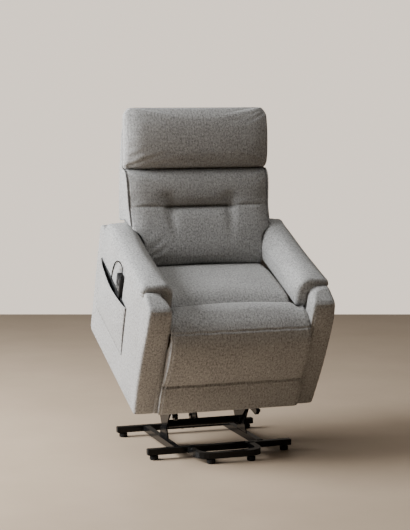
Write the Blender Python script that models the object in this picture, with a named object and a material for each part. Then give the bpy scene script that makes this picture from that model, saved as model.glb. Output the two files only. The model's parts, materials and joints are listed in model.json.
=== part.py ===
"""Lift recliner chair, standing raised: steel lift base, arms, seat, reclining back and leg rest.

Three frames are used, all with X across the chair:
  base frame   Y rearward and Z up from the floor;
  chair frame  the same axes, tipped forward by LIFT_TILT about the arms' front bottom corner;
  back frame   Z up along the reclined back from the back's hinge.
"""
import math

import bmesh
import bpy
from mathutils import Matrix, Vector
from mathutils.geometry import convex_hull_2d

GAP = 0.0003                      # between pieces that touch

# Frames
CENTRE_Y = 0.143                  # the base frame's Y at the middle of the whole chair
LIFT_TILT = math.radians(21)
CHAIR_CORNER = (-0.073, 0.201)    # chair frame's origin, as Y and Z in the base frame
BACK_ANGLE = math.radians(21)

# Base
BAR = 0.025                       # box tube, outside
BAR_WALL = 0.002
BAR_Z = 0.0325                    # centre height
CROSSBAR_HALF = 0.305
FRONT_BAR_Y = -0.018
REAR_BAR_Y = 0.43
RAIL_X = 0.18
HOOP_HALF = 0.13
HOOP_Y = -0.155
HOOP_BEND = 0.055
FOOT_RADIUS = 0.0175
FOOT_X = 0.28
HOOP_FOOT_X = 0.085

# Lift linkage: pivots as (Y, Z), the lower ones in the base frame, the upper ones in the chair's
PLATE = 0.005
RISER_X = 0.169                   # inner face of the riser and of the hangers
LIFT_LINK_X = 0.1615
FRONT_LINK_X = 0.177
LIFT_PIVOT = (0.113, 0.184)
FRONT_PIVOT = (0.027, 0.161)
REAR_HANGER_PIVOT = (0.628, 0.071)
FRONT_HANGER_PIVOT = (0.317, 0.040)
TORSION_TUBE = (0.22, 0.09)
TORSION_RADIUS = 0.016
CRANK_PIN = (0.238, 0.118)
PIN_RADIUS = 0.006
PIN_CLEARANCE = 0.0005
OPEN_PIVOT_CLEARANCE = 0.004      # where a closed linkage is opened in the model

# Chair frame: side panels and arms
PANEL_INNER = 0.302
PANEL_OUTER = 0.383
PANEL_REAR = 0.705
PANEL_TOP = 0.4965
PAD_FRONT = 0.046
PAD_REAR = 0.61
PAD_INNER = 0.256
PAD_OUTER = 0.388
PAD_TOP = 0.547
PAD_BOTTOM = 0.43

# Seat
SEAT_HALF = 0.252
SEAT_FRONT = 0.078
SEAT_REAR = 0.50
SEAT_BOTTOM = 0.325
SEAT_TOP = 0.447
CROSS_TUBE_Z = 0.16
CROSS_TUBE_Y = {"front": 0.10, "mid": 0.33, "rear": 0.64}
SIDE_RAIL_X = 0.289               # centre

# Leg rest
LEGREST_HALF = 0.285
LEGREST_AXIS = (-0.045, 0.375)
LUG_X = 0.215

# Back
BACK_AXIS = (0.56, 0.36)
BACK_HALF = 0.311
LEVER_X = 0.10
LEVER_PIN = (0.58, 0.21)

# Actuators, pivots in the chair frame
LIFT_MOTOR_X = -0.03
LIFT_MOTOR_PIVOT = (0.55, 0.22)
BACK_MOTOR_PIVOT = (0.14, 0.23)
ACTUATOR_RADIUS = 0.017
ROD_RADIUS = 0.008
EYE_RADIUS = 0.016
EYE_WIDTH = 0.016
EYE_HOLE = 0.0107                 # on a 5 mm pin: the linkage is opened here too

# Pocket and handset on the -X arm
POCKET_FRONT = 0.221
POCKET_REAR = 0.617
POCKET_BOTTOM = 0.146
POCKET_BULGE = 0.018
POCKET_THICK = 0.002
HANDSET_Y = 0.335
HANDSET_WIDTH = 0.058
HANDSET_BOTTOM = 0.27
HANDSET_TOP = 0.445
HANDSET_INNER = 0.3735
HANDSET_OUTER = 0.3955
BUTTON_TRAVEL = 0.001
CORD_X = 0.3878
CORD_RADIUS = 0.00225
RELIEF_Y = 0.316
RELIEF_TOP = 0.467
GROMMET = (0.435, 0.255)


# ---------------------------------------------------------------- materials

def material(name, colour, roughness, metallic=0.0):
    """One Principled material of a plain colour."""
    made = bpy.data.materials.new(name)
    made.use_nodes = True
    shader = made.node_tree.nodes["Principled BSDF"]
    shader.inputs["Base Color"].default_value = (*colour, 1.0)
    shader.inputs["Roughness"].default_value = roughness
    shader.inputs["Metallic"].default_value = metallic
    return made


FINISHES = {
    "fabric": ((0.27, 0.26, 0.25), 0.95, 0.0),
    "lining": ((0.03, 0.03, 0.03), 0.95, 0.0),
    "black_steel": ((0.012, 0.012, 0.012), 0.3, 0.6),
    "zinc": ((0.55, 0.56, 0.57), 0.35, 1.0),
    "plywood": ((0.48, 0.34, 0.2), 0.7, 0.0),
    "black_plastic": ((0.02, 0.02, 0.022), 0.45, 0.0),
    "grey_plastic": ((0.25, 0.25, 0.26), 0.5, 0.0),
    "light_plastic": ((0.75, 0.75, 0.74), 0.5, 0.0),
    "rubber": ((0.015, 0.015, 0.015), 0.8, 0.0),
}


# ---------------------------------------------------------------- frames and pieces

def holder(name, parent=None, at=(0.0, 0.0, 0.0), turn=0.0, local=False):
    """An empty that carries pieces; local ones measure their pieces from the empty itself."""
    empty = bpy.data.objects.new(name, None)
    bpy.context.collection.objects.link(empty)
    empty.parent = parent
    empty.location = at
    empty.rotation_euler = (turn, 0.0, 0.0)
    empty["pivot"] = (0.0, 0.0, 0.0) if local else at
    return empty


def piece(name, shape, finish, carrier):
    """Turn a bmesh into the named object, carried by an empty, with its own material."""
    mesh = bpy.data.meshes.new(name)
    bmesh.ops.recalc_face_normals(shape, faces=shape.faces)
    shape.to_mesh(mesh)
    shape.free()
    mesh.transform(Matrix.Translation(-Vector(carrier["pivot"])))
    mesh.shade_smooth()
    mesh.set_sharp_from_angle(angle=math.radians(35))
    mesh.materials.append(material(name, *FINISHES[finish]))
    made = bpy.data.objects.new(name, mesh)
    bpy.context.collection.objects.link(made)
    made.parent = carrier
    return made


def combine(target, shape, operation):
    """Cut a shape from a piece, or weld it on."""
    tool = piece(f"{target.name}_{operation.lower()}_{len(target.modifiers)}", shape, "zinc",
                 target.parent)
    tool.hide_render = True
    tool.display_type = "WIRE"
    modifier = target.modifiers.new(operation, "BOOLEAN")
    modifier.operation = operation
    modifier.object = tool


# ---------------------------------------------------------------- shapes

def prism(outline, low, high, axis="X"):
    """Extrude a closed outline along an axis; the outline's pairs are the two other axes."""
    place = {
        "X": lambda u, v, w: (w, u, v),
        "Y": lambda u, v, w: (u, w, v),
        "Z": lambda u, v, w: (u, v, w),
    }[axis]
    shape = bmesh.new()
    lower = [shape.verts.new(place(u, v, low)) for u, v in outline]
    upper = [shape.verts.new(place(u, v, high)) for u, v in outline]
    shape.faces.new(lower)
    shape.faces.new(upper)
    for i in range(len(outline)):
        j = (i + 1) % len(outline)
        shape.faces.new((lower[i], lower[j], upper[j], upper[i]))
    return shape


def softened(shape, radius, segments=2, angle=40):
    """Round every outward edge that is sharper than an angle."""
    bmesh.ops.recalc_face_normals(shape, faces=shape.faces)
    sharp = [e for e in shape.edges if e.calc_face_angle_signed(0.0) > math.radians(angle)]
    bmesh.ops.bevel(shape, geom=sharp, offset=radius, segments=segments, profile=0.5,
                    affect="EDGES", clamp_overlap=True)
    return shape


def block(low, high, radius=0.0, segments=2):
    """A box between two corners, with its edges rounded."""
    outline = [(low[0], low[1]), (high[0], low[1]), (high[0], high[1]), (low[0], high[1])]
    shape = prism(outline, low[2], high[2], "Z")
    return softened(shape, radius, segments) if radius else shape


def circle(centre, radius, sides=16):
    """Points round a circle in a plane."""
    turns = [2 * math.pi * (i + 0.5) / sides for i in range(sides)]
    return [(centre[0] + radius * math.cos(t), centre[1] + radius * math.sin(t)) for t in turns]


def band(circles, inner, width, sides=16):
    """A flat plate whose outline wraps round circles given as (Y, Z, radius)."""
    points = [p for y, z, radius in circles for p in circle((y, z), radius, sides)]
    outline = [points[i] for i in convex_hull_2d(points)]
    return prism(outline, inner, inner + width)


def turned(profile, centre, axis="X", sides=16, ring=False):
    """Turn a profile of (distance along the axis, radius); a ring's profile joins its ends."""
    place = {
        "X": lambda a, u, v: (a, centre[0] + u, centre[1] + v),
        "Y": lambda a, u, v: (centre[0] + u, a, centre[1] + v),
        "Z": lambda a, u, v: (centre[0] + u, centre[1] + v, a),
    }[axis]
    shape = bmesh.new()
    loops = []
    for along, radius in profile:
        loops.append([shape.verts.new(place(along, u, v)) for u, v in circle((0, 0), radius, sides)])
    joins = len(loops) if ring else len(loops) - 1
    for i in range(joins):
        first = loops[i]
        second = loops[(i + 1) % len(loops)]
        for k in range(sides):
            n = (k + 1) % sides
            shape.faces.new((first[k], first[n], second[n], second[k]))
    if not ring:
        shape.faces.new(loops[0])
        shape.faces.new(loops[-1])
    return shape


def box_tube(path, size=BAR, wall=BAR_WALL):
    """A square tube, open at both ends, along a path of points that lie in one level plane."""
    points = [Vector(p) for p in path]
    up = Vector((0, 0, 1))
    shape = bmesh.new()
    rings = []
    for i, point in enumerate(points):
        before = (point - points[i - 1]).normalized() if i else None
        after = (points[i + 1] - point).normalized() if i < len(points) - 1 else None
        before = before or after
        after = after or before
        along = (before + after).normalized()
        side = along.cross(up) / max(along.dot(after), 0.2)
        corners = []
        for half in (size / 2, size / 2 - wall):
            for su, sv in ((-1, -1), (1, -1), (1, 1), (-1, 1)):
                corners.append(shape.verts.new(point + side * half * su + up * half * sv))
        rings.append(corners)
    for first, second in zip(rings, rings[1:]):
        for start in (0, 4):
            for k in range(4):
                n = (k + 1) % 4
                quad = (first[start + k], first[start + n], second[start + n], second[start + k])
                shape.faces.new(quad if start == 0 else quad[::-1])
    for ring, flip in ((rings[0], True), (rings[-1], False)):
        for k in range(4):
            n = (k + 1) % 4
            quad = (ring[k], ring[n], ring[4 + n], ring[4 + k])
            shape.faces.new(quad[::-1] if flip else quad)
    return shape


def arc(centre, radius, start, end, steps):
    """Points on an arc, angles in degrees."""
    angles = [math.radians(start + (end - start) * i / steps) for i in range(steps + 1)]
    return [(centre[0] + radius * math.cos(a), centre[1] + radius * math.sin(a)) for a in angles]


def mirrored(outline, sign):
    """An outline in X and Z on the side of the chair that the sign names."""
    return [(sign * x, z) for x, z in outline]


def on_side(shape, sign):
    """Move a shape that was made for +X to the side that the sign names."""
    if sign < 0:
        bmesh.ops.scale(shape, vec=(-1, 1, 1), verts=shape.verts)
    return shape


def in_chair(point):
    """A base-frame (Y, Z) as the chair frame sees it."""
    dy = point[0] - CHAIR_CORNER[0]
    dz = point[1] - CHAIR_CORNER[1]
    cos, sin = math.cos(LIFT_TILT), math.sin(LIFT_TILT)
    return (cos * dy + sin * dz, -sin * dy + cos * dz)


def in_base(point):
    """A chair-frame (Y, Z) as the base frame sees it."""
    cos, sin = math.cos(LIFT_TILT), math.sin(LIFT_TILT)
    return (CHAIR_CORNER[0] + cos * point[0] - sin * point[1],
            CHAIR_CORNER[1] + sin * point[0] + cos * point[1])


def in_back(point):
    """A chair-frame (Y, Z) as the back frame sees it."""
    dy = point[0] - BACK_AXIS[0]
    dz = point[1] - BACK_AXIS[1]
    cos, sin = math.cos(BACK_ANGLE), math.sin(BACK_ANGLE)
    return (cos * dy - sin * dz, sin * dy + cos * dz)


SIDES = (("left", -1), ("right", 1))


# ---------------------------------------------------------------- base

def base_frame(base):
    """Two crossbars, two rails between them and the hoop in front."""
    for name, y in (("front_crossbar", FRONT_BAR_Y), ("rear_crossbar", REAR_BAR_Y)):
        path = [(-CROSSBAR_HALF, y, BAR_Z), (CROSSBAR_HALF, y, BAR_Z)]
        piece(name, box_tube(path), "black_steel", base)
    for side, sign in SIDES:
        front = FRONT_BAR_Y + BAR / 2 + GAP
        rear = REAR_BAR_Y - BAR / 2 - GAP
        path = [(sign * RAIL_X, front, BAR_Z), (sign * RAIL_X, rear, BAR_Z)]
        piece(f"{side}_rail", box_tube(path), "black_steel", base)
    inner = HOOP_HALF - HOOP_BEND
    start = FRONT_BAR_Y - BAR / 2 - GAP
    flat = [(-HOOP_HALF, start)]
    flat += arc((-inner, HOOP_Y + HOOP_BEND), HOOP_BEND, 180, 270, 5)
    flat += arc((inner, HOOP_Y + HOOP_BEND), HOOP_BEND, 270, 360, 5)
    flat += [(HOOP_HALF, start)]
    piece("front_hoop", box_tube([(x, y, BAR_Z) for x, y in flat]), "black_steel", base)


def feet(base):
    """Six round glides under the bars."""
    places = [(sign * FOOT_X, y) for y in (FRONT_BAR_Y, REAR_BAR_Y) for sign in (-1, 1)]
    places += [(sign * HOOP_FOOT_X, HOOP_Y) for sign in (-1, 1)]
    top = BAR_Z - BAR / 2 - GAP
    profile = [(0.0, FOOT_RADIUS - 0.002), (0.003, FOOT_RADIUS), (top - 0.004, FOOT_RADIUS),
               (top - 0.004, 0.008), (top, 0.008)]
    for number, place in enumerate(places, 1):
        piece(f"foot_{number}", turned(profile, place, "Z"), "rubber", base)


def risers(base):
    """Plates that stand on the rails and carry the two lower pivots as welded pins."""
    foot_z = BAR_Z + BAR / 2 + GAP
    for side, sign in SIDES:
        web = on_side(prism([(0.135, foot_z), (0.245, foot_z), (0.235, foot_z + 0.034),
                             (0.15, foot_z + 0.034)], RISER_X, RISER_X + PLATE), sign)
        riser = piece(f"{side}_riser", web, "black_steel", base)
        for circles in ([(0.19, 0.066, 0.018), (*LIFT_PIVOT, 0.018)],
                        [(*LIFT_PIVOT, 0.018), (*FRONT_PIVOT, 0.016)]):
            combine(riser, on_side(band(circles, RISER_X, PLATE), sign), "UNION")
        pin = [(LIFT_LINK_X - 0.006, 0.009), (LIFT_LINK_X - 0.002, 0.009),
               (LIFT_LINK_X - 0.002, PIN_RADIUS), (RISER_X + 0.002, PIN_RADIUS)]
        combine(riser, on_side(turned(pin, LIFT_PIVOT), sign), "UNION")
        pin = [(RISER_X + 0.002, PIN_RADIUS), (FRONT_LINK_X + PLATE + 0.002, PIN_RADIUS),
               (FRONT_LINK_X + PLATE + 0.002, 0.009), (FRONT_LINK_X + PLATE + 0.006, 0.009)]
        combine(riser, on_side(turned(pin, FRONT_PIVOT), sign), "UNION")


# ---------------------------------------------------------------- lift linkage

def lift_links(carrier):
    """Bell-crank links, joined across the chair by the torsion tube that the actuator pushes."""
    upper = in_base(REAR_HANGER_PIVOT)
    hole = PIN_RADIUS + PIN_CLEARANCE
    for side, sign in SIDES:
        long_arm = on_side(band([(*TORSION_TUBE, 0.024), (*upper, 0.02)], LIFT_LINK_X, PLATE), sign)
        link = piece(f"{side}_lift_link", long_arm, "black_steel", carrier)
        short_arm = band([(*TORSION_TUBE, 0.024), (*LIFT_PIVOT, 0.018)], LIFT_LINK_X, PLATE)
        combine(link, on_side(short_arm, sign), "UNION")
        for centre in (LIFT_PIVOT, upper):
            cutter = turned([(LIFT_LINK_X - 0.01, hole), (LIFT_LINK_X + 0.02, hole)], centre)
            combine(link, on_side(cutter, sign), "DIFFERENCE")
    end = LIFT_LINK_X - GAP
    tube = piece("torsion_tube", turned([(-end, TORSION_RADIUS), (end, TORSION_RADIUS)],
                                        TORSION_TUBE, sides=20), "black_steel", carrier)
    ear_gap = EYE_WIDTH / 2 + 0.002
    for offset in (-ear_gap - PLATE, ear_gap):
        ear = band([(*TORSION_TUBE, 0.012), (*CRANK_PIN, 0.012)], LIFT_MOTOR_X + offset, PLATE)
        combine(tube, ear, "UNION")
    pin_end = ear_gap + PLATE + 0.003
    pin = turned([(LIFT_MOTOR_X - pin_end, 0.005), (LIFT_MOTOR_X + pin_end, 0.005)], CRANK_PIN)
    combine(tube, pin, "UNION")


def front_links(carrier):
    """The short front links, with a clearance hole where the linkage is opened."""
    upper = in_base(FRONT_HANGER_PIVOT)
    for side, sign in SIDES:
        bar = on_side(band([(*FRONT_PIVOT, 0.016), (*upper, 0.018)], FRONT_LINK_X, PLATE), sign)
        link = piece(f"{side}_front_link", bar, "black_steel", carrier)
        for centre, hole in ((FRONT_PIVOT, PIN_RADIUS + PIN_CLEARANCE),
                             (upper, PIN_RADIUS + OPEN_PIVOT_CLEARANCE)):
            cutter = turned([(FRONT_LINK_X - 0.01, hole), (FRONT_LINK_X + 0.02, hole)], centre)
            combine(link, on_side(cutter, sign), "DIFFERENCE")


def chair_steel(chair):
    """Side rails, cross tubes with the actuators' brackets, and the hangers."""
    for side, sign in SIDES:
        x = sign * SIDE_RAIL_X
        path = [(x, 0.05, CROSS_TUBE_Z), (x, 0.665, CROSS_TUBE_Z)]
        piece(f"{side}_side_rail", box_tube(path), "black_steel", chair)
    half = SIDE_RAIL_X - BAR / 2 - GAP
    tubes = {}
    for name, y in CROSS_TUBE_Y.items():
        path = [(-half, y, CROSS_TUBE_Z), (half, y, CROSS_TUBE_Z)]
        tubes[name] = piece(f"{name}_cross_tube", box_tube(path), "black_steel", chair)
    mounts = (("rear", LIFT_MOTOR_X, LIFT_MOTOR_PIVOT), ("front", LEVER_X, BACK_MOTOR_PIVOT))
    for name, x, pivot in mounts:
        root = (CROSS_TUBE_Y[name], CROSS_TUBE_Z + 0.006, 0.0055)
        ear_gap = EYE_WIDTH / 2 + 0.001
        for offset in (-ear_gap - PLATE, ear_gap):
            combine(tubes[name], band([root, (*pivot, 0.011)], x + offset, PLATE), "UNION")
        reach = ear_gap + PLATE + 0.003
        pin = turned([(x - reach, 0.005), (x + reach, 0.005)], pivot)
        combine(tubes[name], pin, "UNION")
    top = CROSS_TUBE_Z - BAR / 2 - GAP
    for side, sign in SIDES:
        for name, tube_y, pivot in (("rear", CROSS_TUBE_Y["rear"], REAR_HANGER_PIVOT),
                                    ("front", CROSS_TUBE_Y["mid"], FRONT_HANGER_PIVOT)):
            outline = [(tube_y - 0.03, top), (tube_y + 0.03, top)]
            outline += arc(pivot, 0.018, 0, -180, 8)
            hanger = piece(f"{side}_{name}_hanger",
                           on_side(prism(outline, RISER_X, RISER_X + PLATE), sign),
                           "black_steel", chair)
            if name == "rear":
                pin = [(LIFT_LINK_X - 0.006, 0.009), (LIFT_LINK_X - 0.002, 0.009),
                       (LIFT_LINK_X - 0.002, PIN_RADIUS), (RISER_X + 0.002, PIN_RADIUS)]
            else:
                pin = [(RISER_X + 0.002, PIN_RADIUS), (FRONT_LINK_X + PLATE + 0.002, PIN_RADIUS),
                       (FRONT_LINK_X + PLATE + 0.002, 0.012),
                       (FRONT_LINK_X + PLATE + 0.006, 0.012)]
            combine(hanger, on_side(turned(pin, pivot), sign), "UNION")


# ---------------------------------------------------------------- actuators

def actuator(name, x, pivot, target, tube_length, tube_carrier, rod_carrier, sign):
    """A motor with its tube, and the rod that slides in it; both run along +Y of their holders."""
    reach = (Vector(target) - Vector(pivot)).length
    body = block((x - 0.022, 0.018, -0.024), (x + 0.022, 0.10, 0.024), 0.006)
    motor = piece(f"{name}_motor", body, "black_plastic", tube_carrier)
    eye = band([(0.0, 0.0, 0.014), (0.03, 0.0, 0.014)], x - EYE_WIDTH / 2, EYE_WIDTH)
    combine(motor, eye, "UNION")
    can = turned([(x, 0.021), (x + sign * 0.062, 0.021), (x + sign * 0.066, 0.017)],
                 (0.062, 0.0), sides=20)
    combine(motor, can, "UNION")
    tube = turned([(0.09, ACTUATOR_RADIUS), (tube_length, ACTUATOR_RADIUS)], (x, 0.0), "Y")
    combine(motor, tube, "UNION")
    bore = turned([(0.105, ROD_RADIUS + 0.0005), (tube_length + 0.01, ROD_RADIUS + 0.0005)],
                  (x, 0.0), "Y")
    combine(motor, bore, "DIFFERENCE")
    hole = turned([(x - 0.02, 0.0055), (x + 0.02, 0.0055)], (0.0, 0.0))
    combine(motor, hole, "DIFFERENCE")
    rod_back = tube_length - 0.03
    rod = piece(f"{name}_rod", turned([(rod_back, ROD_RADIUS), (reach - 0.01, ROD_RADIUS)],
                                      (x, 0.0), "Y"), "zinc", rod_carrier)
    combine(rod, band([(reach, 0.0, EYE_RADIUS)], x - EYE_WIDTH / 2, EYE_WIDTH), "UNION")
    cutter = turned([(x - 0.02, EYE_HOLE), (x + 0.02, EYE_HOLE)], (reach, 0.0))
    combine(rod, cutter, "DIFFERENCE")


def angle_to(start, end):
    """The turn about X that points +Y from one (Y, Z) to another."""
    return math.atan2(end[1] - start[1], end[0] - start[0])


# ---------------------------------------------------------------- arms

def side_panels(chair):
    """The upholstered arm boxes, each ending in a rounded post at the front."""
    outline = [(0.012, 0.0), (0.69, 0.0), (PANEL_REAR, 0.015), (PANEL_REAR, 0.48),
               (0.69, PANEL_TOP + 0.004), (PAD_REAR + 0.006, PANEL_TOP + 0.004),
               (PAD_REAR + 0.006, PANEL_TOP), (PAD_FRONT - 0.002, PANEL_TOP),
               (PAD_FRONT - 0.002, 0.522), (0.01, 0.521), (-0.025, 0.508), (-0.047, 0.48),
               (-0.058, 0.44), (-0.06, 0.40), (-0.034, 0.22), (-0.001, 0.012)]
    for side, sign in SIDES:
        shape = softened(prism(outline, PANEL_INNER, PANEL_OUTER), 0.008, 2, 60)
        panel = piece(f"{side}_side_panel", on_side(shape, sign), "fabric", chair)
        if sign < 0:
            low = (-PANEL_OUTER - 0.01, HANDSET_Y - HANDSET_WIDTH / 2 - 0.006, HANDSET_BOTTOM - 0.006)
            high = (-HANDSET_INNER + 0.001, HANDSET_Y + HANDSET_WIDTH / 2 + 0.006,
                    HANDSET_TOP + 0.006)
            combine(panel, block(low, high), "DIFFERENCE")


def arm_pads(chair):
    """Padded caps that lie on the arms and wrap down their inner sides."""
    roll = 0.03
    outline = [(PAD_OUTER, PANEL_TOP + GAP), (PAD_OUTER, PAD_TOP - roll)]
    outline += arc((PAD_OUTER - roll, PAD_TOP - roll), roll, 30, 90, 3)
    outline += arc((PAD_INNER + roll, PAD_TOP - roll), roll, 90, 180, 4)
    outline += [(PAD_INNER, PAD_BOTTOM), (PANEL_INNER - GAP, PAD_BOTTOM),
                (PANEL_INNER - GAP, PANEL_TOP + GAP)]
    for side, sign in SIDES:
        shape = prism(mirrored(outline, sign), PAD_FRONT, PAD_REAR, "Y")
        piece(f"{side}_arm_pad", softened(shape, 0.006, 1, 60), "fabric", chair)


def rear_panel(chair):
    """The cover below the back, with a cut-out for the power inlet."""
    low = (-PANEL_INNER + GAP, PANEL_REAR - 0.018, 0.03)
    high = (PANEL_INNER - GAP, PANEL_REAR - 0.006, 0.36)
    panel = piece("rear_panel", block(low, high, 0.003, 1), "fabric", chair)
    combine(panel, block((-0.131, 0.60, 0.069), (-0.069, 0.75, 0.111)), "DIFFERENCE")


# ---------------------------------------------------------------- seat

def seat(chair):
    """Wooden rails, the webbing platform, the cushion and the roll in front of it."""
    half = PANEL_INNER - GAP
    rail = piece("front_seat_rail", block((-half, 0.03, 0.26), (half, 0.055, 0.318), 0.002, 1),
                 "plywood", chair)
    for _, sign in SIDES:
        lug = on_side(band([(0.036, 0.29, 0.012), (*LEGREST_AXIS, 0.010)], LUG_X, 0.006), sign)
        combine(rail, lug, "UNION")
        hole = on_side(turned([(LUG_X - 0.01, 0.0055), (LUG_X + 0.02, 0.0055)], LEGREST_AXIS), sign)
        combine(rail, hole, "DIFFERENCE")
    piece("rear_seat_rail", block((-half, 0.455, 0.268), (half, 0.475, 0.318), 0.002, 1),
          "plywood", chair)
    piece("seat_platform", block((-0.235, 0.038, 0.3183), (0.235, 0.473, 0.3223)), "lining", chair)
    crown = 0.012
    outline = [(SEAT_FRONT, SEAT_BOTTOM), (SEAT_REAR, SEAT_BOTTOM), (SEAT_REAR, 0.425),
               (0.44, 0.440), (0.34, SEAT_TOP), (0.22, SEAT_TOP), (SEAT_FRONT, SEAT_TOP - crown)]
    piece("seat_cushion", softened(prism(outline, -SEAT_HALF, SEAT_HALF), 0.008, 2), "fabric", chair)
    rear = SEAT_FRONT - 0.0025
    outline = [(-0.043, 0.392), (0.045, 0.392), (0.045, SEAT_BOTTOM), (rear, SEAT_BOTTOM),
               (rear, 0.432), (0.04, 0.443), (-0.01, 0.436), (-0.043, 0.418)]
    piece("front_pad", softened(prism(outline, -SEAT_HALF, SEAT_HALF), 0.005, 1), "fabric", chair)


def legrest(carrier):
    """The board with its hinge ears, and the pad on its front."""
    board_front = -0.0295
    shape = block((-0.262, board_front, 0.03), (0.262, board_front + 0.012, 0.322), 0.001, 1)
    board = piece("legrest_board", shape, "plywood", carrier)
    ear_x = LUG_X + 0.006 + 0.0015
    for _, sign in SIDES:
        ear = band([(board_front + 0.006, 0.318, 0.006), (*LEGREST_AXIS, 0.010)], ear_x, 0.006)
        combine(board, on_side(ear, sign), "UNION")
        pin = on_side(turned([(LUG_X - 0.004, 0.005), (ear_x + 0.003, 0.005)], LEGREST_AXIS), sign)
        combine(board, pin, "UNION")
    rear = board_front - GAP
    outline = [(rear, 0.016), (rear, 0.306), (-0.052, 0.338), (-0.058, 0.360), (-0.080, 0.366),
               (-0.092, 0.345), (-0.094, 0.325), (-0.085, 0.26), (-0.068, 0.20), (-0.050, 0.15),
               (-0.056, 0.12), (-0.048, 0.05), (-0.040, 0.016)]
    shape = softened(prism(outline, -LEGREST_HALF, LEGREST_HALF), 0.008, 2, 50)
    piece("legrest_pad", shape, "fabric", carrier)


# ---------------------------------------------------------------- back

def back(carrier):
    """Board on the hinge shaft, three cushions in front of it and the shell behind."""
    half_board = 0.009
    board = piece("back_board", block((-0.235, -half_board, 0.035), (0.235, half_board, 0.60),
                                      0.002, 1), "plywood", carrier)
    hinge = 0.0085
    for _, sign in SIDES:
        ear = on_side(band([(0.0, 0.0, 0.02), (0.0, 0.07, 0.02)], 0.20, 0.008), sign)
        combine(board, ear, "UNION")
        hole = turned([(0.19, hinge), (0.22, hinge)], (0.0, 0.0))
        combine(board, on_side(hole, sign), "DIFFERENCE")
    front = -half_board - GAP
    ear_front = -0.0205
    lower = [(ear_front, 0.092), (front, 0.094), (front, 0.256), (-0.076, 0.256), (-0.113, 0.21),
             (-0.148, 0.14), (-0.160, 0.085), (-0.152, 0.042), (-0.085, 0.068)]
    piece("lower_back_cushion", softened(prism(lower, -SEAT_HALF, SEAT_HALF), 0.008, 1, 50),
          "fabric", carrier)
    lumbar = [(front, 0.260), (front, 0.408), (-0.062, 0.408), (-0.084, 0.375), (-0.094, 0.33),
              (-0.088, 0.29), (-0.074, 0.260)]
    piece("lumbar_cushion", softened(prism(lumbar, -BACK_HALF, BACK_HALF), 0.012, 2, 50),
          "fabric", carrier)
    head = [(front, 0.414), (front, 0.668), (-0.030, 0.672), (-0.062, 0.655), (-0.083, 0.60),
            (-0.090, 0.53), (-0.086, 0.46), (-0.062, 0.414)]
    piece("head_cushion", softened(prism(head, -BACK_HALF - 0.003, BACK_HALF + 0.003), 0.014, 2, 50),
          "fabric", carrier)
    rear = half_board + GAP
    upper = [(rear, 0.17), (0.056, 0.17), (0.056, 0.58), (0.045, 0.62), (rear, 0.635)]
    shell = piece("back_shell", softened(prism(upper, -0.292, 0.292), 0.014, 2, 50), "fabric",
                  carrier)
    lower = [(rear, 0.102), (0.0215, 0.094), (0.0215, -0.005), (0.05, -0.03), (0.056, 0.0),
             (0.056, 0.20), (rear, 0.20)]
    combine(shell, prism(lower, -SEAT_HALF, SEAT_HALF), "UNION")
    pin = in_back(LEVER_PIN)
    plate_x = LEVER_X - EYE_WIDTH / 2 - 0.002 - PLATE
    corner = (-0.022, -0.015, 0.0098)
    upright = band([(-half_board - 0.010, 0.068, 0.0098), corner], plate_x, PLATE)
    lever = piece("back_lever", upright, "black_steel", carrier)
    combine(lever, band([corner, (*pin, 0.012)], plate_x, PLATE), "UNION")
    stub = turned([(plate_x + 0.001, 0.005), (LEVER_X + EYE_WIDTH / 2 + 0.002, 0.005),
                   (LEVER_X + EYE_WIDTH / 2 + 0.002, 0.014),
                   (LEVER_X + EYE_WIDTH / 2 + 0.005, 0.014)], pin)
    combine(lever, stub, "UNION")


def back_shaft(chair):
    """The shaft between the side panels on which the back turns."""
    half = PANEL_INNER - GAP
    piece("back_hinge_shaft", turned([(-half, 0.008), (half, 0.008)], BACK_AXIS), "zinc", chair)


# ---------------------------------------------------------------- pocket, handset and power

def pocket_rise(u, v):
    """How far the pocket stands off the arm, at shares u of its width and v of its height."""
    across = math.sin(math.pi * min(max(u, 0.0), 1.0)) ** 0.45
    up = math.sin(math.pi / 2 * min(v / 0.62, 1.0))
    return POCKET_BULGE * across * up


def pocket(chair):
    """A patch of fabric sewn on at its sides and bottom, gaping at its slanted mouth."""
    columns, rows = 14, 7
    shape = bmesh.new()
    skins = []
    for lift in (0.0, POCKET_THICK):
        grid = []
        for j in range(rows + 1):
            row = []
            for i in range(columns + 1):
                u, v = i / columns, j / rows
                y = POCKET_FRONT + (POCKET_REAR - POCKET_FRONT) * u
                mouth = 0.358 + 0.026 * u
                z = POCKET_BOTTOM + (mouth - POCKET_BOTTOM) * v
                x = PANEL_OUTER + GAP + pocket_rise(u, v) + lift
                row.append(shape.verts.new((-x, y, z)))
            grid.append(row)
        skins.append(grid)
    for grid, flip in zip(skins, (False, True)):
        for j in range(rows):
            for i in range(columns):
                quad = (grid[j][i], grid[j][i + 1], grid[j + 1][i + 1], grid[j + 1][i])
                shape.faces.new(quad[::-1] if flip else quad)
    inner, outer = skins
    rim = [(0, i) for i in range(columns)] + [(j, columns) for j in range(rows)]
    rim += [(rows, i) for i in range(columns, 0, -1)] + [(j, 0) for j in range(rows, 0, -1)]
    for (j, i), (q, p) in zip(rim, rim[1:] + rim[:1]):
        shape.faces.new((inner[j][i], inner[q][p], outer[q][p], outer[j][i]))
    piece("pocket_panel", shape, "fabric", chair)


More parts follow.
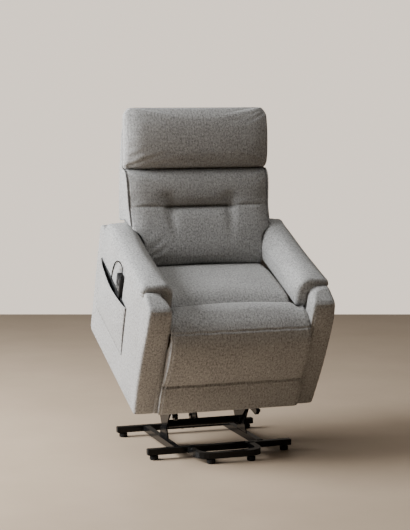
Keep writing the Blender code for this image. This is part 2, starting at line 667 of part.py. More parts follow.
def handset(chair):
    """The wired hand control, its strain relief and the clip where its cord enters the arm."""
    half = HANDSET_WIDTH / 2
    shell = block((-HANDSET_OUTER, HANDSET_Y - half, HANDSET_BOTTOM),
                  (-HANDSET_INNER, HANDSET_Y + half, HANDSET_TOP), 0.004, 2)
    shell = piece("handset_shell", shell, "black_plastic", chair)
    buttons = []
    for name, y, z, finish in (("button_back_up", -0.012, 0.425, "grey_plastic"),
                               ("button_back_down", 0.012, 0.425, "grey_plastic"),
                               ("button_lift", -0.012, 0.395, "light_plastic"),
                               ("button_lower", 0.012, 0.395, "light_plastic")):
        centre = (HANDSET_Y + y, z)
        size = (0.008, 0.010)
        well = block((-HANDSET_OUTER - 0.01, centre[0] - size[0] - 0.0006,
                      centre[1] - size[1] - 0.0006),
                     (-HANDSET_OUTER + 0.005, centre[0] + size[0] + 0.0006,
                      centre[1] + size[1] + 0.0006))
        combine(shell, well, "DIFFERENCE")
        carrier = holder(f"{name}_axis", chair, (-HANDSET_OUTER, centre[0], centre[1]))
        low = (-HANDSET_OUTER - 0.0015, centre[0] - size[0], centre[1] - size[1])
        high = (-HANDSET_OUTER + 0.005 - BUTTON_TRAVEL - 0.001, centre[0] + size[0],
                centre[1] + size[1])
        buttons.append(piece(name, block(low, high, 0.0008, 1), finish, carrier))
    relief = turned([(HANDSET_TOP + GAP, 0.0042), (0.452, 0.0042), (RELIEF_TOP, 0.0028)],
                    (-CORD_X, RELIEF_Y), "Z", 12)
    piece("handset_strain_relief", relief, "rubber", chair)
    clip = block((-0.3916, GROMMET[0] - 0.006, GROMMET[1] - 0.009),
                 (-PANEL_OUTER - GAP, GROMMET[0] + 0.006, GROMMET[1]), 0.0015, 1)
    piece("cord_clip", clip, "rubber", chair)


def smooth_route(points, spacing):
    """Evenly spaced points on a Catmull-Rom curve through the route's own points."""
    ends = [2 * points[0] - points[1]] + points + [2 * points[-1] - points[-2]]
    fine = []
    steps = 24
    for a, b, c, d in zip(ends, ends[1:], ends[2:], ends[3:]):
        for i in range(steps):
            t = i / steps
            fine.append(0.5 * (2 * b + (c - a) * t + (2 * a - 5 * b + 4 * c - d) * t * t
                               + (3 * b - a - 3 * c + d) * t ** 3))
    fine.append(points[-1])
    lengths = [0.0]
    for a, b in zip(fine, fine[1:]):
        lengths.append(lengths[-1] + (b - a).length)
    count = round(lengths[-1] / spacing)
    route = []
    k = 0
    for i in range(count + 1):
        want = lengths[-1] * i / count
        while k < len(fine) - 2 and lengths[k + 1] < want:
            k += 1
        share = (want - lengths[k]) / (lengths[k + 1] - lengths[k])
        route.append(fine[k].lerp(fine[k + 1], share))
    return route


def cord(chair):
    """The handset's lead: up out of its relief, over, and down behind it into the pocket."""
    route = [(RELIEF_Y, RELIEF_TOP + GAP), (0.3161, 0.475), (0.3188, 0.4825), (0.326, 0.4885),
             (0.3375, 0.4915), (0.351, 0.492), (0.366, 0.4905), (0.381, 0.4865), (0.3955, 0.480),
             (0.409, 0.471), (0.421, 0.4595), (0.4315, 0.4455), (0.440, 0.4295), (0.4465, 0.412),
             (0.451, 0.393), (0.4535, 0.373), (0.4532, 0.352), (0.450, 0.331), (0.4452, 0.3105),
             (0.440, 0.290), (0.437, 0.276), (0.4353, 0.264), (GROMMET[0], GROMMET[1] + GAP)]
    points = smooth_route([Vector((-CORD_X, y, z)) for y, z in route], 0.010)
    curve = bpy.data.curves.new("handset_cord", "CURVE")
    curve.dimensions = "3D"
    curve.bevel_depth = CORD_RADIUS
    curve.bevel_resolution = 2
    curve.use_fill_caps = True
    spline = curve.splines.new("POLY")
    spline.points.add(len(points) - 1)
    for target, point in zip(spline.points, points):
        target.co = (*point, 1.0)
    curve.materials.append(material("handset_cord", *FINISHES["rubber"]))
    made = bpy.data.objects.new("handset_cord", curve)
    bpy.context.collection.objects.link(made)
    made.parent = chair


def control_box(chair):
    """The power supply behind the rear panel, with the mains inlet in its face."""
    box = piece("control_box", block((-0.15, 0.595, 0.05), (-0.05, PANEL_REAR - 0.0185, 0.13),
                                     0.004, 1), "black_plastic", chair)
    face = PANEL_REAR - 0.004
    combine(box, block((-0.13, 0.66, 0.07), (-0.07, face, 0.11), 0.002, 1), "UNION")
    combine(box, block((-0.112, 0.675, 0.082), (-0.088, face + 0.01, 0.098)), "DIFFERENCE")


# ---------------------------------------------------------------- the chair

def main():
    """Clear the scene and build every piece."""
    for old in list(bpy.data.objects):
        bpy.data.objects.remove(old)
    base = holder("base_frame_origin", None, (0.0, -CENTRE_Y, 0.0), local=True)
    chair = holder("chair_frame_origin", base, (0.0, *CHAIR_CORNER), LIFT_TILT, local=True)
    base_frame(base)
    feet(base)
    risers(base)
    lift_links(holder("lift_axis", base, (0.0, *LIFT_PIVOT)))
    front_links(holder("front_link_axis", base, (0.0, *FRONT_PIVOT)))
    chair_steel(chair)
    side_panels(chair)
    arm_pads(chair)
    rear_panel(chair)
    seat(chair)
    legrest(holder("legrest_axis", chair, (0.0, *LEGREST_AXIS)))
    back_shaft(chair)
    back(holder("back_axis", chair, (0.0, *BACK_AXIS), -BACK_ANGLE, local=True))
    crank = in_chair(CRANK_PIN)
    for name, x, pivot, target, length, sign in (
            ("lift", LIFT_MOTOR_X, LIFT_MOTOR_PIVOT, crank, 0.33, 1),
            ("back", LEVER_X, BACK_MOTOR_PIVOT, LEVER_PIN, 0.33, -1)):
        turn = angle_to(pivot, target)
        tube = holder(f"{name}_motor_axis", chair, (0.0, *pivot), turn, local=True)
        rod = holder(f"{name}_rod_axis", tube, local=True)
        actuator(name, x, pivot, target, length, tube, rod, sign)
    pocket(chair)
    handset(chair)
    cord(chair)
    control_box(chair)


main()
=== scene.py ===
"""Looks of the lift recliner chair: upholstery, hand control, steel base and its small fittings.

Soft pieces are modelled in the chair frame (Y rearward, Z up, tipped by LIFT_TILT) or in the
back frame (Z along the back, from its hinge), so their cloth runs true to the pieces.
"""
import json
import math

import bmesh
import bpy
import numpy as np
from mathutils import Matrix, Vector
from mathutils.bvhtree import BVHTree


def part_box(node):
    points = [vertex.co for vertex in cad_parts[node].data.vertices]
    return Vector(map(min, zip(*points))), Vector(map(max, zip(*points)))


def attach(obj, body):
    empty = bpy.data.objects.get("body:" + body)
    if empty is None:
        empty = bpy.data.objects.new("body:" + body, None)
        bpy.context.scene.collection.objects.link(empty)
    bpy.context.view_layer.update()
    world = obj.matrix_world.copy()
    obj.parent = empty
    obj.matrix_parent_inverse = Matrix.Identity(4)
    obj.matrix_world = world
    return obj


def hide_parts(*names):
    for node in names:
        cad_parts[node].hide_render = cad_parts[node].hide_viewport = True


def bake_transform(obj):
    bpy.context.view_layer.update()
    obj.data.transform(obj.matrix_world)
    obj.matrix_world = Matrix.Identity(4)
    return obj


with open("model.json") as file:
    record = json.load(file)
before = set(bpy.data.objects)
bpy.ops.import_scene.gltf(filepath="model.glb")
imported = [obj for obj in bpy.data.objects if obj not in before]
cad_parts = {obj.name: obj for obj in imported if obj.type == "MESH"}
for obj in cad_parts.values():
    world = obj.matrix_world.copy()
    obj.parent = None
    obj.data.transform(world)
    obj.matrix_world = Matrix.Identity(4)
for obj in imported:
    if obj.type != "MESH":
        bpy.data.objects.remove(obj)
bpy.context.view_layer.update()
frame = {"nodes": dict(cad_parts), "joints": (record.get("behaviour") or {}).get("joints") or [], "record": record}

# ---------------------------------------------------------------- frames

LIFT_TILT = math.radians(21)
BACK_AXIS = Vector((0.0, 0.56, 0.36))
SIDES = (("left", -1), ("right", 1))
JOINTS = {joint["name"]: joint for joint in frame["joints"]}


def joint_at(name):
    """Where a joint's axis lies at rest."""
    return Vector(JOINTS[name]["pos_m"])


TURN = Matrix.Rotation(LIFT_TILT, 4, "X")
BACK = Matrix.Translation(joint_at("back_recline"))
CHAIR = Matrix.Translation(joint_at("back_recline") - TURN @ BACK_AXIS) @ TURN


# ---------------------------------------------------------------- camera

def camera():
    """The eye, a little to the left of the chair and above it, on a long lens."""
    data = bpy.data.cameras.new("camera")
    data.lens = 108.68
    data.sensor_width = 36.0
    data.clip_end = 60.0
    made = bpy.data.objects.new("camera", data)
    bpy.context.scene.collection.objects.link(made)
    azimuth, elevation = math.radians(-18.86), math.radians(6.33)
    made.location = (-2.123, -6.189, 1.485)
    made.rotation_euler = (math.pi / 2 - elevation, 0.0, azimuth)
    bpy.context.scene.camera = made


camera()


# ---------------------------------------------------------------- the handset's cord

CORD_X = 0.3878
CORD_RADIUS = 0.00225
CORD_ROUTE = [(0.316, 0.4673), (0.3161, 0.475), (0.3188, 0.4825), (0.326, 0.4885), (0.3375, 0.4915),
              (0.351, 0.492), (0.366, 0.4905), (0.381, 0.4865), (0.3955, 0.480), (0.409, 0.471),
              (0.421, 0.4595), (0.4315, 0.4455), (0.440, 0.4295), (0.4465, 0.412), (0.451, 0.393),
              (0.4535, 0.373), (0.4532, 0.352), (0.450, 0.331), (0.4452, 0.3105), (0.440, 0.290),
              (0.437, 0.276), (0.4353, 0.264), (0.435, 0.2553)]


def smooth_route(points, steps):
    """Points on a Catmull-Rom curve through the route's own points."""
    ends = [2 * points[0] - points[1]] + points + [2 * points[-1] - points[-2]]
    fine = []
    for a, b, c, d in zip(ends, ends[1:], ends[2:], ends[3:]):
        for i in range(steps):
            t = i / steps
            fine.append(0.5 * (2 * b + (c - a) * t + (2 * a - 5 * b + 4 * c - d) * t * t
                               + (3 * b - a - 3 * c + d) * t ** 3))
    return fine + [points[-1]]


def cord():
    """The handset's lead: up out of its relief, over, and down behind it into the pocket."""
    points = smooth_route([CHAIR @ Vector((-CORD_X, y, z)) for y, z in CORD_ROUTE], 8)
    curve = bpy.data.curves.new("lead_route", "CURVE")
    curve.dimensions = "3D"
    curve.bevel_depth = CORD_RADIUS
    curve.bevel_resolution = 4
    curve.use_fill_caps = True
    spline = curve.splines.new("POLY")
    spline.points.add(len(points) - 1)
    for target, point in zip(spline.points, points):
        target.co = (*point, 1.0)
    route = bpy.data.objects.new("lead_route", curve)
    bpy.context.scene.collection.objects.link(route)
    graph = bpy.context.evaluated_depsgraph_get()
    mesh = bpy.data.meshes.new_from_object(route.evaluated_get(graph))
    bpy.data.objects.remove(route)
    mesh.shade_smooth()
    mesh.materials.clear()
    made = bpy.data.objects.new("handset_lead", mesh)
    bpy.context.scene.collection.objects.link(made)
    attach(made, "chair")
    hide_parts("handset_cord")
    return made


handset_lead = cord()


# ---------------------------------------------------------------- shader graphs

def node(tree, kind, inputs=None, **settings):
    """A shader node with its settings, its sockets set or linked."""
    made = tree.nodes.new(kind)
    for key, value in settings.items():
        setattr(made, key, value)
    for key, value in (inputs or {}).items():
        if isinstance(value, bpy.types.NodeSocket):
            tree.links.new(value, made.inputs[key])
        else:
            made.inputs[key].default_value = value
    return made


def calc(tree, operation, *values):
    """A Math node's result."""
    return node(tree, "ShaderNodeMath", dict(enumerate(values)), operation=operation).outputs[0]


def mix(tree, share, low, high):
    """A number between two, by a share."""
    return node(tree, "ShaderNodeMix", {"Factor": share, "A": low, "B": high}).outputs["Result"]


def noise(tree, vector, scale, detail=2.0, roughness=0.5):
    """A noise texture's value."""
    inputs = {"Vector": vector, "Scale": scale, "Detail": detail, "Roughness": roughness}
    return node(tree, "ShaderNodeTexNoise", inputs).outputs["Fac"]


def ramp(tree, value, stops):
    """A colour ramp's colour; stops are (place, colour)."""
    made = node(tree, "ShaderNodeValToRGB", {"Fac": value})
    line = made.color_ramp
    while len(line.elements) < len(stops):
        line.elements.new(0.5)
    for element, (place, colour) in zip(line.elements, stops):
        element.position = place
        element.color = (*colour, 1.0)
    return made.outputs["Color"]


def spread(tree, value, low, high):
    """A 0 to 1 value on another range."""
    return node(tree, "ShaderNodeMapRange", {"Value": value, "To Min": low, "To Max": high}).outputs[0]


def bump(tree, height, distance, strength=1.0, below=None):
    """A bumped normal."""
    inputs = {"Height": height, "Distance": distance, "Strength": strength}
    if below is not None:
        inputs["Normal"] = below
    return node(tree, "ShaderNodeBump", inputs).outputs["Normal"]


def material(name, **sockets):
    """A Principled material and its tree; sockets that are the same all over are set here."""
    made = bpy.data.materials.new(name)
    made.use_nodes = True
    shader = made.node_tree.nodes["Principled BSDF"]
    for key, value in sockets.items():
        shader.inputs[key.replace("_", " ")].default_value = value
    return made, made.node_tree, shader.inputs


def place_in(tree):
    """The place on the object, in its own metres."""
    return node(tree, "ShaderNodeTexCoord").outputs["Object"]


def woven(tree, u, v, across, along):
    """A plain weave's height, from its two pitches."""
    warp = calc(tree, "SINE", calc(tree, "MULTIPLY", u, 2 * math.pi / across))
    weft = calc(tree, "SINE", calc(tree, "MULTIPLY", v, 2 * math.pi / along))
    return calc(tree, "MULTIPLY", warp, weft)


def set_links(tree, sockets, **values):
    """Link values into a shader's sockets."""
    for key, value in values.items():
        tree.links.new(value, sockets[key.replace("_", " ")])


def cloth_coordinates(tree):
    """Two directions in the cloth: across (u) and along the grain (v), from the face's aspect."""
    place = node(tree, "ShaderNodeTexCoord")
    at = node(tree, "ShaderNodeSeparateXYZ", {0: place.outputs["Object"]}).outputs
    aspect = node(tree, "ShaderNodeSeparateXYZ", {0: place.outputs["Normal"]}).outputs
    sideways = calc(tree, "GREATER_THAN", calc(tree, "ABSOLUTE", aspect[0]), 0.72)
    upward = calc(tree, "GREATER_THAN", calc(tree, "ABSOLUTE", aspect[2]), 0.72)
    u = mix(tree, sideways, at[0], at[1])
    v = mix(tree, upward, at[2], at[1])
    return place.outputs["Object"], u, v


def fabric(name, dark, light):
    """Heathered chenille weave: uneven slubs along the grain over a fine plain weave."""
    made, tree, sockets = material(name, Roughness=0.93, Sheen_Weight=0.22, Sheen_Roughness=0.45,
                                   Specular_IOR_Level=0.18)
    place, u, v = cloth_coordinates(tree)

    def stretched(across, along):
        return node(tree, "ShaderNodeCombineXYZ", {0: calc(tree, "MULTIPLY", u, across),
                                                   1: calc(tree, "MULTIPLY", v, along)}).outputs[0]
    slubs = noise(tree, stretched(150, 105), 1.0, 4.0, 0.75)
    streaks = noise(tree, stretched(260, 18), 1.0, 2.0, 0.55)
    flecks = noise(tree, stretched(330, 250), 1.0, 2.0, 0.6)
    clouds = noise(tree, place, 7.0, 2.0)
    tone = calc(tree, "ADD", calc(tree, "MULTIPLY", slubs, 0.62), calc(tree, "MULTIPLY", streaks, 0.14))
    tone = calc(tree, "ADD", tone, calc(tree, "MULTIPLY", flecks, 0.28))
    tone = calc(tree, "ADD", tone, calc(tree, "MULTIPLY", clouds, 0.06))
    middle = [(a + b) / 2 for a, b in zip(dark, light)]
    colour = ramp(tree, tone, [(0.43, dark), (0.55, middle), (0.67, light)])
    normal = bump(tree, woven(tree, u, v, 0.0021, 0.0024), 0.00025, 0.6)
    normal = bump(tree, slubs, 0.0026, 0.8, normal)
    normal = bump(tree, streaks, 0.0006, 0.5, normal)
    set_links(tree, sockets, Base_Color=colour, Normal=normal)
    return made


def thread():
    """Twisted sewing thread, a little lighter than the cloth."""
    made, tree, sockets = material("thread", Roughness=0.6, Sheen_Weight=0.2)
    place = place_in(tree)
    colour = ramp(tree, noise(tree, place, 900.0), [(0.35, (0.20, 0.195, 0.185)),
                                                   (0.65, (0.36, 0.35, 0.34))])
    set_links(tree, sockets, Base_Color=colour, Normal=bump(tree, noise(tree, place, 2500.0), 0.0002))
    return made


def painted_steel():
    """Gloss black powder coat with its orange peel and a little dust."""
    made, tree, sockets = material("black_steel", Specular_IOR_Level=0.16)
    place = place_in(tree)
    dust = noise(tree, place, 18.0, 4.0, 0.65)
    peel = noise(tree, place, 620.0, 1.0)
    set_links(tree, sockets, Base_Color=ramp(tree, dust, [(0.35, (0.005, 0.005, 0.0055)),
                                                          (0.75, (0.011, 0.0105, 0.010))]),
              Roughness=spread(tree, dust, 0.10, 0.20), Normal=bump(tree, peel, 0.0002, 0.20))
    return made


def zinc():
    """Zinc plate, drawn along one way, with faint clouding."""
    made, tree, sockets = material("zinc", Metallic=1.0)
    place = place_in(tree)
    drawn = node(tree, "ShaderNodeMapping", {"Vector": place, "Scale": (900, 60, 900)}).outputs[0]
    lines = noise(tree, drawn, 1.0, 3.0)
    cloud = noise(tree, place, 40.0, 2.0)
    set_links(tree, sockets, Base_Color=ramp(tree, cloud, [(0.3, (0.50, 0.51, 0.53)),
                                                           (0.7, (0.70, 0.71, 0.72))]),
              Roughness=spread(tree, lines, 0.22, 0.45), Normal=bump(tree, lines, 0.00008, 0.5))
    return made


def plywood():
    """Birch plywood: long grain with thin darker glue lines."""
    made, tree, sockets = material("plywood", Roughness=0.7)
    place = place_in(tree)
    long = node(tree, "ShaderNodeMapping", {"Vector": place, "Scale": (3, 60, 60)}).outputs[0]
    grain = noise(tree, long, 2.2, 5.0, 0.6)
    layers = node(tree, "ShaderNodeTexWave", {"Vector": place, "Scale": 95.0, "Distortion": 0.6},
                  bands_direction="Y").outputs["Fac"]
    tone = calc(tree, "ADD", calc(tree, "MULTIPLY", grain, 0.8), calc(tree, "MULTIPLY", layers, 0.2))
    set_links(tree, sockets, Base_Color=ramp(tree, tone, [(0.25, (0.30, 0.18, 0.09)),
                                                          (0.75, (0.62, 0.45, 0.27))]),
              Normal=bump(tree, grain, 0.0005, 0.4))
    return made


def plastic(name, dark, light, roughness, gloss=0.5):
    """Moulded plastic with a spark-eroded grain."""
    made, tree, sockets = material(name, Specular_IOR_Level=gloss)
    place = place_in(tree)
    grain = node(tree, "ShaderNodeTexVoronoi", {"Vector": place, "Scale": 1400.0}).outputs["Distance"]
    wear = noise(tree, place, 60.0, 3.0)
    set_links(tree, sockets, Base_Color=ramp(tree, wear, [(0.3, dark), (0.7, light)]),
              Roughness=spread(tree, wear, roughness - 0.08, roughness + 0.10),
              Normal=bump(tree, grain, 0.0001, 0.5))
    return made


def lining():
    """Black dust cloth: an open plain weave."""
    made, tree, sockets = material("lining_black", Roughness=0.95)
    place, u, v = cloth_coordinates(tree)
    weave = woven(tree, u, v, 0.0014, 0.0014)
    cloud = noise(tree, place, 25.0)
    set_links(tree, sockets, Base_Color=ramp(tree, cloud, [(0.3, (0.018, 0.018, 0.018)),
                                                           (0.7, (0.04, 0.04, 0.04))]),
              Normal=bump(tree, weave, 0.0003, 0.7))
    return made


CLOTH_DARK = (0.155, 0.153, 0.149)
CLOTH_LIGHT = (0.53, 0.527, 0.518)
MATERIALS = {
    "fabric_grey": fabric("fabric_grey", CLOTH_DARK, CLOTH_LIGHT),
    # The black cloth also serves as painted shade in the pocket's mouth and as a painted shadow line along its
    # seam.
    "lining_black": lining(),
    "black_steel": painted_steel(),
    "zinc": zinc(),
    "plywood": plywood(),
    "black_plastic": plastic("black_plastic", (0.006, 0.006, 0.0065), (0.014, 0.014, 0.0145), 0.46, 0.18),
    "grey_plastic": plastic("grey_plastic", (0.028, 0.028, 0.030), (0.055, 0.055, 0.058), 0.45, 0.22),
    "light_plastic": plastic("light_plastic", (0.085, 0.085, 0.084), (0.13, 0.13, 0.128), 0.45, 0.25),
    "rubber": plastic("rubber", (0.006, 0.006, 0.006), (0.012, 0.012, 0.012), 0.62, 0.15),
}
THREAD = thread()
handset_lead.data.materials.append(MATERIALS["rubber"])


def dress_cad_nodes():
    """Give every CAD node that stays the material of its slot, and the leg rest's board its dust cloth."""
    for part in frame["record"]["subparts"]:
        made = frame["nodes"][part["node"]]
        finish = "lining_black" if part["node"] == "legrest_board" else part["material_slot"]
        made.data.materials.clear()
        made.data.materials.append(MATERIALS[finish])


dress_cad_nodes()


# ---------------------------------------------------------------- pieces

def piece(name, shape, body, slot=None, matrix=CHAIR, finish=None):
    """Turn a bmesh into a piece of the chair, in place and riding on its body."""
    mesh = bpy.data.meshes.new(name)
    bmesh.ops.recalc_face_normals(shape, faces=shape.faces)
    shape.to_mesh(mesh)
    shape.free()
    mesh.shade_smooth()
    mesh.set_sharp_from_angle(angle=math.radians(40))
    mesh.materials.append(finish or MATERIALS[slot])
    made = bpy.data.objects.new(name, mesh)
    bpy.context.scene.collection.objects.link(made)
    made.matrix_world = matrix
    if body:
        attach(made, body)
    return made


def prism(outline, low, high, axis="X"):
    """Extrude a closed outline along an axis; the outline's pairs are the two other axes."""
    place = {
        "X": lambda u, v, w: (w, u, v),
        "Y": lambda u, v, w: (u, w, v),
        "Z": lambda u, v, w: (u, v, w),
    }[axis]
    shape = bmesh.new()
    lower = [shape.verts.new(place(u, v, low)) for u, v in outline]
    upper = [shape.verts.new(place(u, v, high)) for u, v in outline]
    shape.faces.new(lower)
    shape.faces.new(upper)
    for i in range(len(outline)):
        j = (i + 1) % len(outline)
        shape.faces.new((lower[i], lower[j], upper[j], upper[i]))
    return shape


def rounded(shape, radius, segments=3, angle=50, chosen=None):
    """Round the outward edges that are sharper than an angle."""
    bmesh.ops.recalc_face_normals(shape, faces=shape.faces)
    sharp = [e for e in shape.edges if e.calc_face_angle_signed(0.0) > math.radians(angle)
             and (chosen is None or chosen(e))]
    bmesh.ops.bevel(shape, geom=sharp, offset=radius, segments=segments, profile=0.5,
                    affect="EDGES", clamp_overlap=True)
    return shape


def joined(*shapes):
    """Several shapes in one."""
    whole = bmesh.new()
    for shape in shapes:
        mesh = bpy.data.meshes.new("part")
        bmesh.ops.recalc_face_normals(shape, faces=shape.faces)
        shape.to_mesh(mesh)
        shape.free()
        whole.from_mesh(mesh)
        bpy.data.meshes.remove(mesh)
    return whole


def tube(points, radii, sides=8):
    """A tube along a line of points, with one radius for each."""
    shape = bmesh.new()
    points = [Vector(p) for p in points]
    side = None
    rings = []
    for i, (point, radius) in enumerate(zip(points, radii)):
        along = (points[min(i + 1, len(points) - 1)] - points[max(i - 1, 0)]).normalized()
        side = (side - along * side.dot(along)).normalized() if side else along.orthogonal().normalized()
        other = along.cross(side)
        turns = [2 * math.pi * k / sides for k in range(sides)]
        rings.append([shape.verts.new(point + radius * (math.cos(t) * side + math.sin(t) * other))
                      for t in turns])
    for here, there in zip(rings, rings[1:]):
        for k in range(sides):
            m = (k + 1) % sides
            shape.faces.new((here[k], here[m], there[m], there[k]))
    shape.faces.new(rings[0][::-1])
    shape.faces.new(rings[-1])
    return shape


def block(low, high, radius=0.0):
    """A box between two corners, with its edges rounded."""
    outline = [(low[0], low[1]), (high[0], low[1]), (high[0], high[1]), (low[0], high[1])]
    shape = prism(outline, low[2], high[2], "Z")
    return rounded(shape, radius) if radius else shape


def arc(centre, radius, start, end, steps):
    """Points on an arc, angles in degrees from the first axis."""
    turns = [math.radians(start + (end - start) * i / steps) for i in range(steps + 1)]
    return [(centre[0] + radius * math.cos(t), centre[1] + radius * math.sin(t)) for t in turns]


# ---------------------------------------------------------------- soft pieces

def ease(value, low, high):
    """0 below low, 1 above high, smooth between."""
    share = np.clip((value - low) / (high - low), 0.0, 1.0)
    return share * share * (3 - 2 * share)


def points_of(obj):
    """A mesh's points as an array."""
    flat = np.empty(len(obj.data.vertices) * 3)
    obj.data.vertices.foreach_get("co", flat)
    return flat.reshape(-1, 3)


def normals_of(obj):
    """A mesh's point normals as an array."""
    flat = np.empty(len(obj.data.vertices) * 3)
    obj.data.vertex_normals.foreach_get("vector", flat)
    return flat.reshape(-1, 3)


def surface(obj):
    """A mesh's points and their normals."""
    return points_of(obj), normals_of(obj)


def set_points(obj, points):
    """Move a mesh's points."""
    obj.data.vertices.foreach_set("co", points.astype(np.float32).ravel())
    obj.data.update()


def apply_modifiers(obj):
    """Replace a mesh by what its modifiers make of it."""
    graph = bpy.context.evaluated_depsgraph_get()
    mesh = bpy.data.meshes.new_from_object(obj.evaluated_get(graph))
    obj.modifiers.clear()
    old = obj.data
    obj.data = mesh
    bpy.data.meshes.remove(old)


def relaxed(obj, rounds):
    """Even out a mesh: each point moves halfway to the middle of its neighbours."""
    edges = np.empty(len(obj.data.edges) * 2, np.int64)
    obj.data.edges.foreach_get("vertices", edges)
    edges = edges.reshape(-1, 2)
    points = points_of(obj)
    count = np.bincount(edges.ravel(), minlength=len(points)).astype(float)[:, None]
    for _ in range(rounds):
        total = np.zeros_like(points)
        for axis in range(3):
            total[:, axis] = (np.bincount(edges[:, 0], points[edges[:, 1], axis], len(points))
                              + np.bincount(edges[:, 1], points[edges[:, 0], axis], len(points)))
        points = points + (total / count - points) * 0.5
    set_points(obj, points)


def remeshed(obj, voxel):
    """An even skin of small squares over the shape."""
    modifier = obj.modifiers.new("remesh", "REMESH")
    modifier.mode = "VOXEL"
    modifier.voxel_size = voxel
    modifier.use_smooth_shade = True
    apply_modifiers(obj)


def swell(obj, held, cap, sides=None):
    """Fill the piece with a cloth simulation; held points (0 to 1) stay where they are.

    Outside the |x| of sides, which is (low, high), the cloth doesn't draw in towards the middle.
    """
    rest = points_of(obj)
    group = obj.vertex_groups.new(name="held")
    levels = np.round(np.clip(held, 0, 1) * 20).astype(int)
    for level in range(1, 21):
        members = np.nonzero(levels == level)[0].tolist()
        if members:
            group.add(members, level / 20, "REPLACE")
    modifier = obj.modifiers.new("cloth", "CLOTH")
    settings = modifier.settings
    settings.quality = 4
    settings.vertex_group_mass = "held"
    settings.pin_stiffness = 1.0
    settings.use_pressure = True
    settings.uniform_pressure_force = 4.0
    settings.effector_weights.gravity = 0.0
    settings.bending_stiffness = 0.6
    modifier.collision_settings.use_collision = False
    modifier.point_cache.frame_start = 1
    modifier.point_cache.frame_end = 20
    for number in range(1, 21):
        bpy.context.scene.frame_set(number)
    graph = bpy.context.evaluated_depsgraph_get()
    swollen = points_of(obj.evaluated_get(graph))
    obj.modifiers.clear()
    obj.vertex_groups.clear()
    move = swollen - rest
    if sides:
        move[:, 0] *= 1 - ease(np.abs(rest[:, 0]), *sides)
    length = np.maximum(np.linalg.norm(move, axis=1), 1e-9)[:, None]
    print(f"swell {obj.name}: {len(rest)} points, moved up to {length.max() * 1000:.1f} mm")
    set_points(obj, rest + move / length * cap * np.tanh(length / cap))
    bpy.context.scene.frame_set(1)


def combined(made, tool, operation):
    """Join a second shape to a piece, or cut it out of it."""
    modifier = made.modifiers.new("combined", "BOOLEAN")
    modifier.operation = operation
    modifier.object = tool
    apply_modifiers(made)
    bpy.data.objects.remove(tool)


def finer(obj):
    """One round of subdivision."""
    modifier = obj.modifiers.new("finer", "SUBSURF")
    modifier.levels = 1
    modifier.render_levels = 1
    apply_modifiers(obj)


def groove(obj, away, depth, width=0.005, mask=1.0, lip=0.25):
    """Sink a seam where a distance field is near zero, with the cloth rising a little beside it."""
    share = np.abs(away) / width
    profile = np.exp(-(share ** 2)) - lip * np.exp(-((share - 1.9) ** 2))
    set_points(obj, points_of(obj) - normals_of(obj) * (depth * profile * mask)[:, None])


STITCH_PITCH = 0.0055
STITCH_HALF = 0.0018
STITCH_RADIUS = 0.00045


def stitches(name, obj, line, toward, body):
    """A row of thread stitches laid on a piece along a line, found by looking along toward."""
    tree = BVHTree.FromPolygons([v.co for v in obj.data.vertices],
                                [tuple(p.vertices) for p in obj.data.polygons])
    line = [Vector(p) for p in line]
    lengths = [(b - a).length for a, b in zip(line, line[1:])]
    direction = Vector(toward).normalized()
    found = []
    for k in range(int(sum(lengths) / STITCH_PITCH) + 1):
        along = k * STITCH_PITCH
        for a, b, length in zip(line, line[1:], lengths):
            if along <= length:
                break
            along -= length
        start = a.lerp(b, min(along / length, 1.0)) - direction * 0.12
        hit, normal, _, _ = tree.ray_cast(start, direction, 0.25)
        found.append((hit, normal) if hit else None)
    shape = bmesh.new()
    for here, there in zip(found, found[1:]):
        if not here or not there or (there[0] - here[0]).length > 2.5 * STITCH_PITCH:
            continue
        along = (there[0] - here[0]).normalized()
        across = along.cross(here[1]).normalized()
        out = across.cross(along)
        if out.dot(here[1]) < 0:
            out = -out
        turn = Matrix((along, across, out)).transposed().to_4x4()
        middle = here[0] + out * STITCH_RADIUS * 0.35
        scale = Matrix.Diagonal((STITCH_HALF, STITCH_RADIUS, STITCH_RADIUS, 1.0))
        bmesh.ops.create_icosphere(shape, subdivisions=1, radius=1.0,
                                   matrix=Matrix.Translation(middle) @ turn @ scale)
    made = piece(name, shape, None, "fabric_grey", obj.matrix_world.copy(), THREAD)
    if body:
        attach(made, body)
    return made


def upholster(made, body, fill, *nodes):
    """Let a filled piece ride on its body, in place of the CAD solids that it stands for."""
    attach(made, body)
    if nodes:
        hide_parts(*nodes)


# ---------------------------------------------------------------- arms

PANEL_INNER = 0.3025
PANEL_OUTER = 0.383
PAD_INNER = 0.2565
PAD_FRONT = 0.0400
PAD_REAR = 0.609
PAD_ROUND = (0.3065, 0.4990)       # centre of the pad's round inner edge
PAD_RADIUS = 0.05
PAD_RISE = 0.009                   # how much higher the pad is at its rear end
POST_FRONT = [(0.012, 0.5235), (-0.047, 0.502), (-0.060, 0.490), (-0.0635, 0.452), (-0.062, 0.40),
              (-0.036, 0.22), (-0.004, 0.000)]
POST_ROUND = 0.045
FLANGE = [(-0.0275, 0.015), (0.012, 0.010), (0.030, 0.40), (-0.024, 0.40), (-0.0285, 0.30)]
FLANGE_INNER = 0.2835              # the flange behind the leg rest's edge


def mirrored(shape, sign):
    """Turn a shape made for the +X side to its own side."""
    for vertex in shape.verts:
        vertex.co.x *= sign
    return shape


def corner_share(across, above, radius):
    """Which points lie outside a round corner, and the share of their way out that they keep."""
    reach = np.hypot(across, above)
    near = (across > 0) & (above > 0) & (reach > radius)
    return near, np.where(near, radius / np.maximum(reach, 1e-9), 1.0)


def round_inner_top(points, top, inner, radius, share):
    """Round the edge where a top meets the inner side of an arm."""
    x = np.abs(points[:, 0])
    across, above = (inner + radius) - x, points[:, 2] - (top - radius)
    near, scale = corner_share(across, above, radius)
    scale = 1 - (1 - scale) * share
    points[:, 0] = np.sign(points[:, 0]) * ((inner + radius) - across * scale)
    points[:, 2] = np.where(near, (top - radius) + above * scale, points[:, 2])


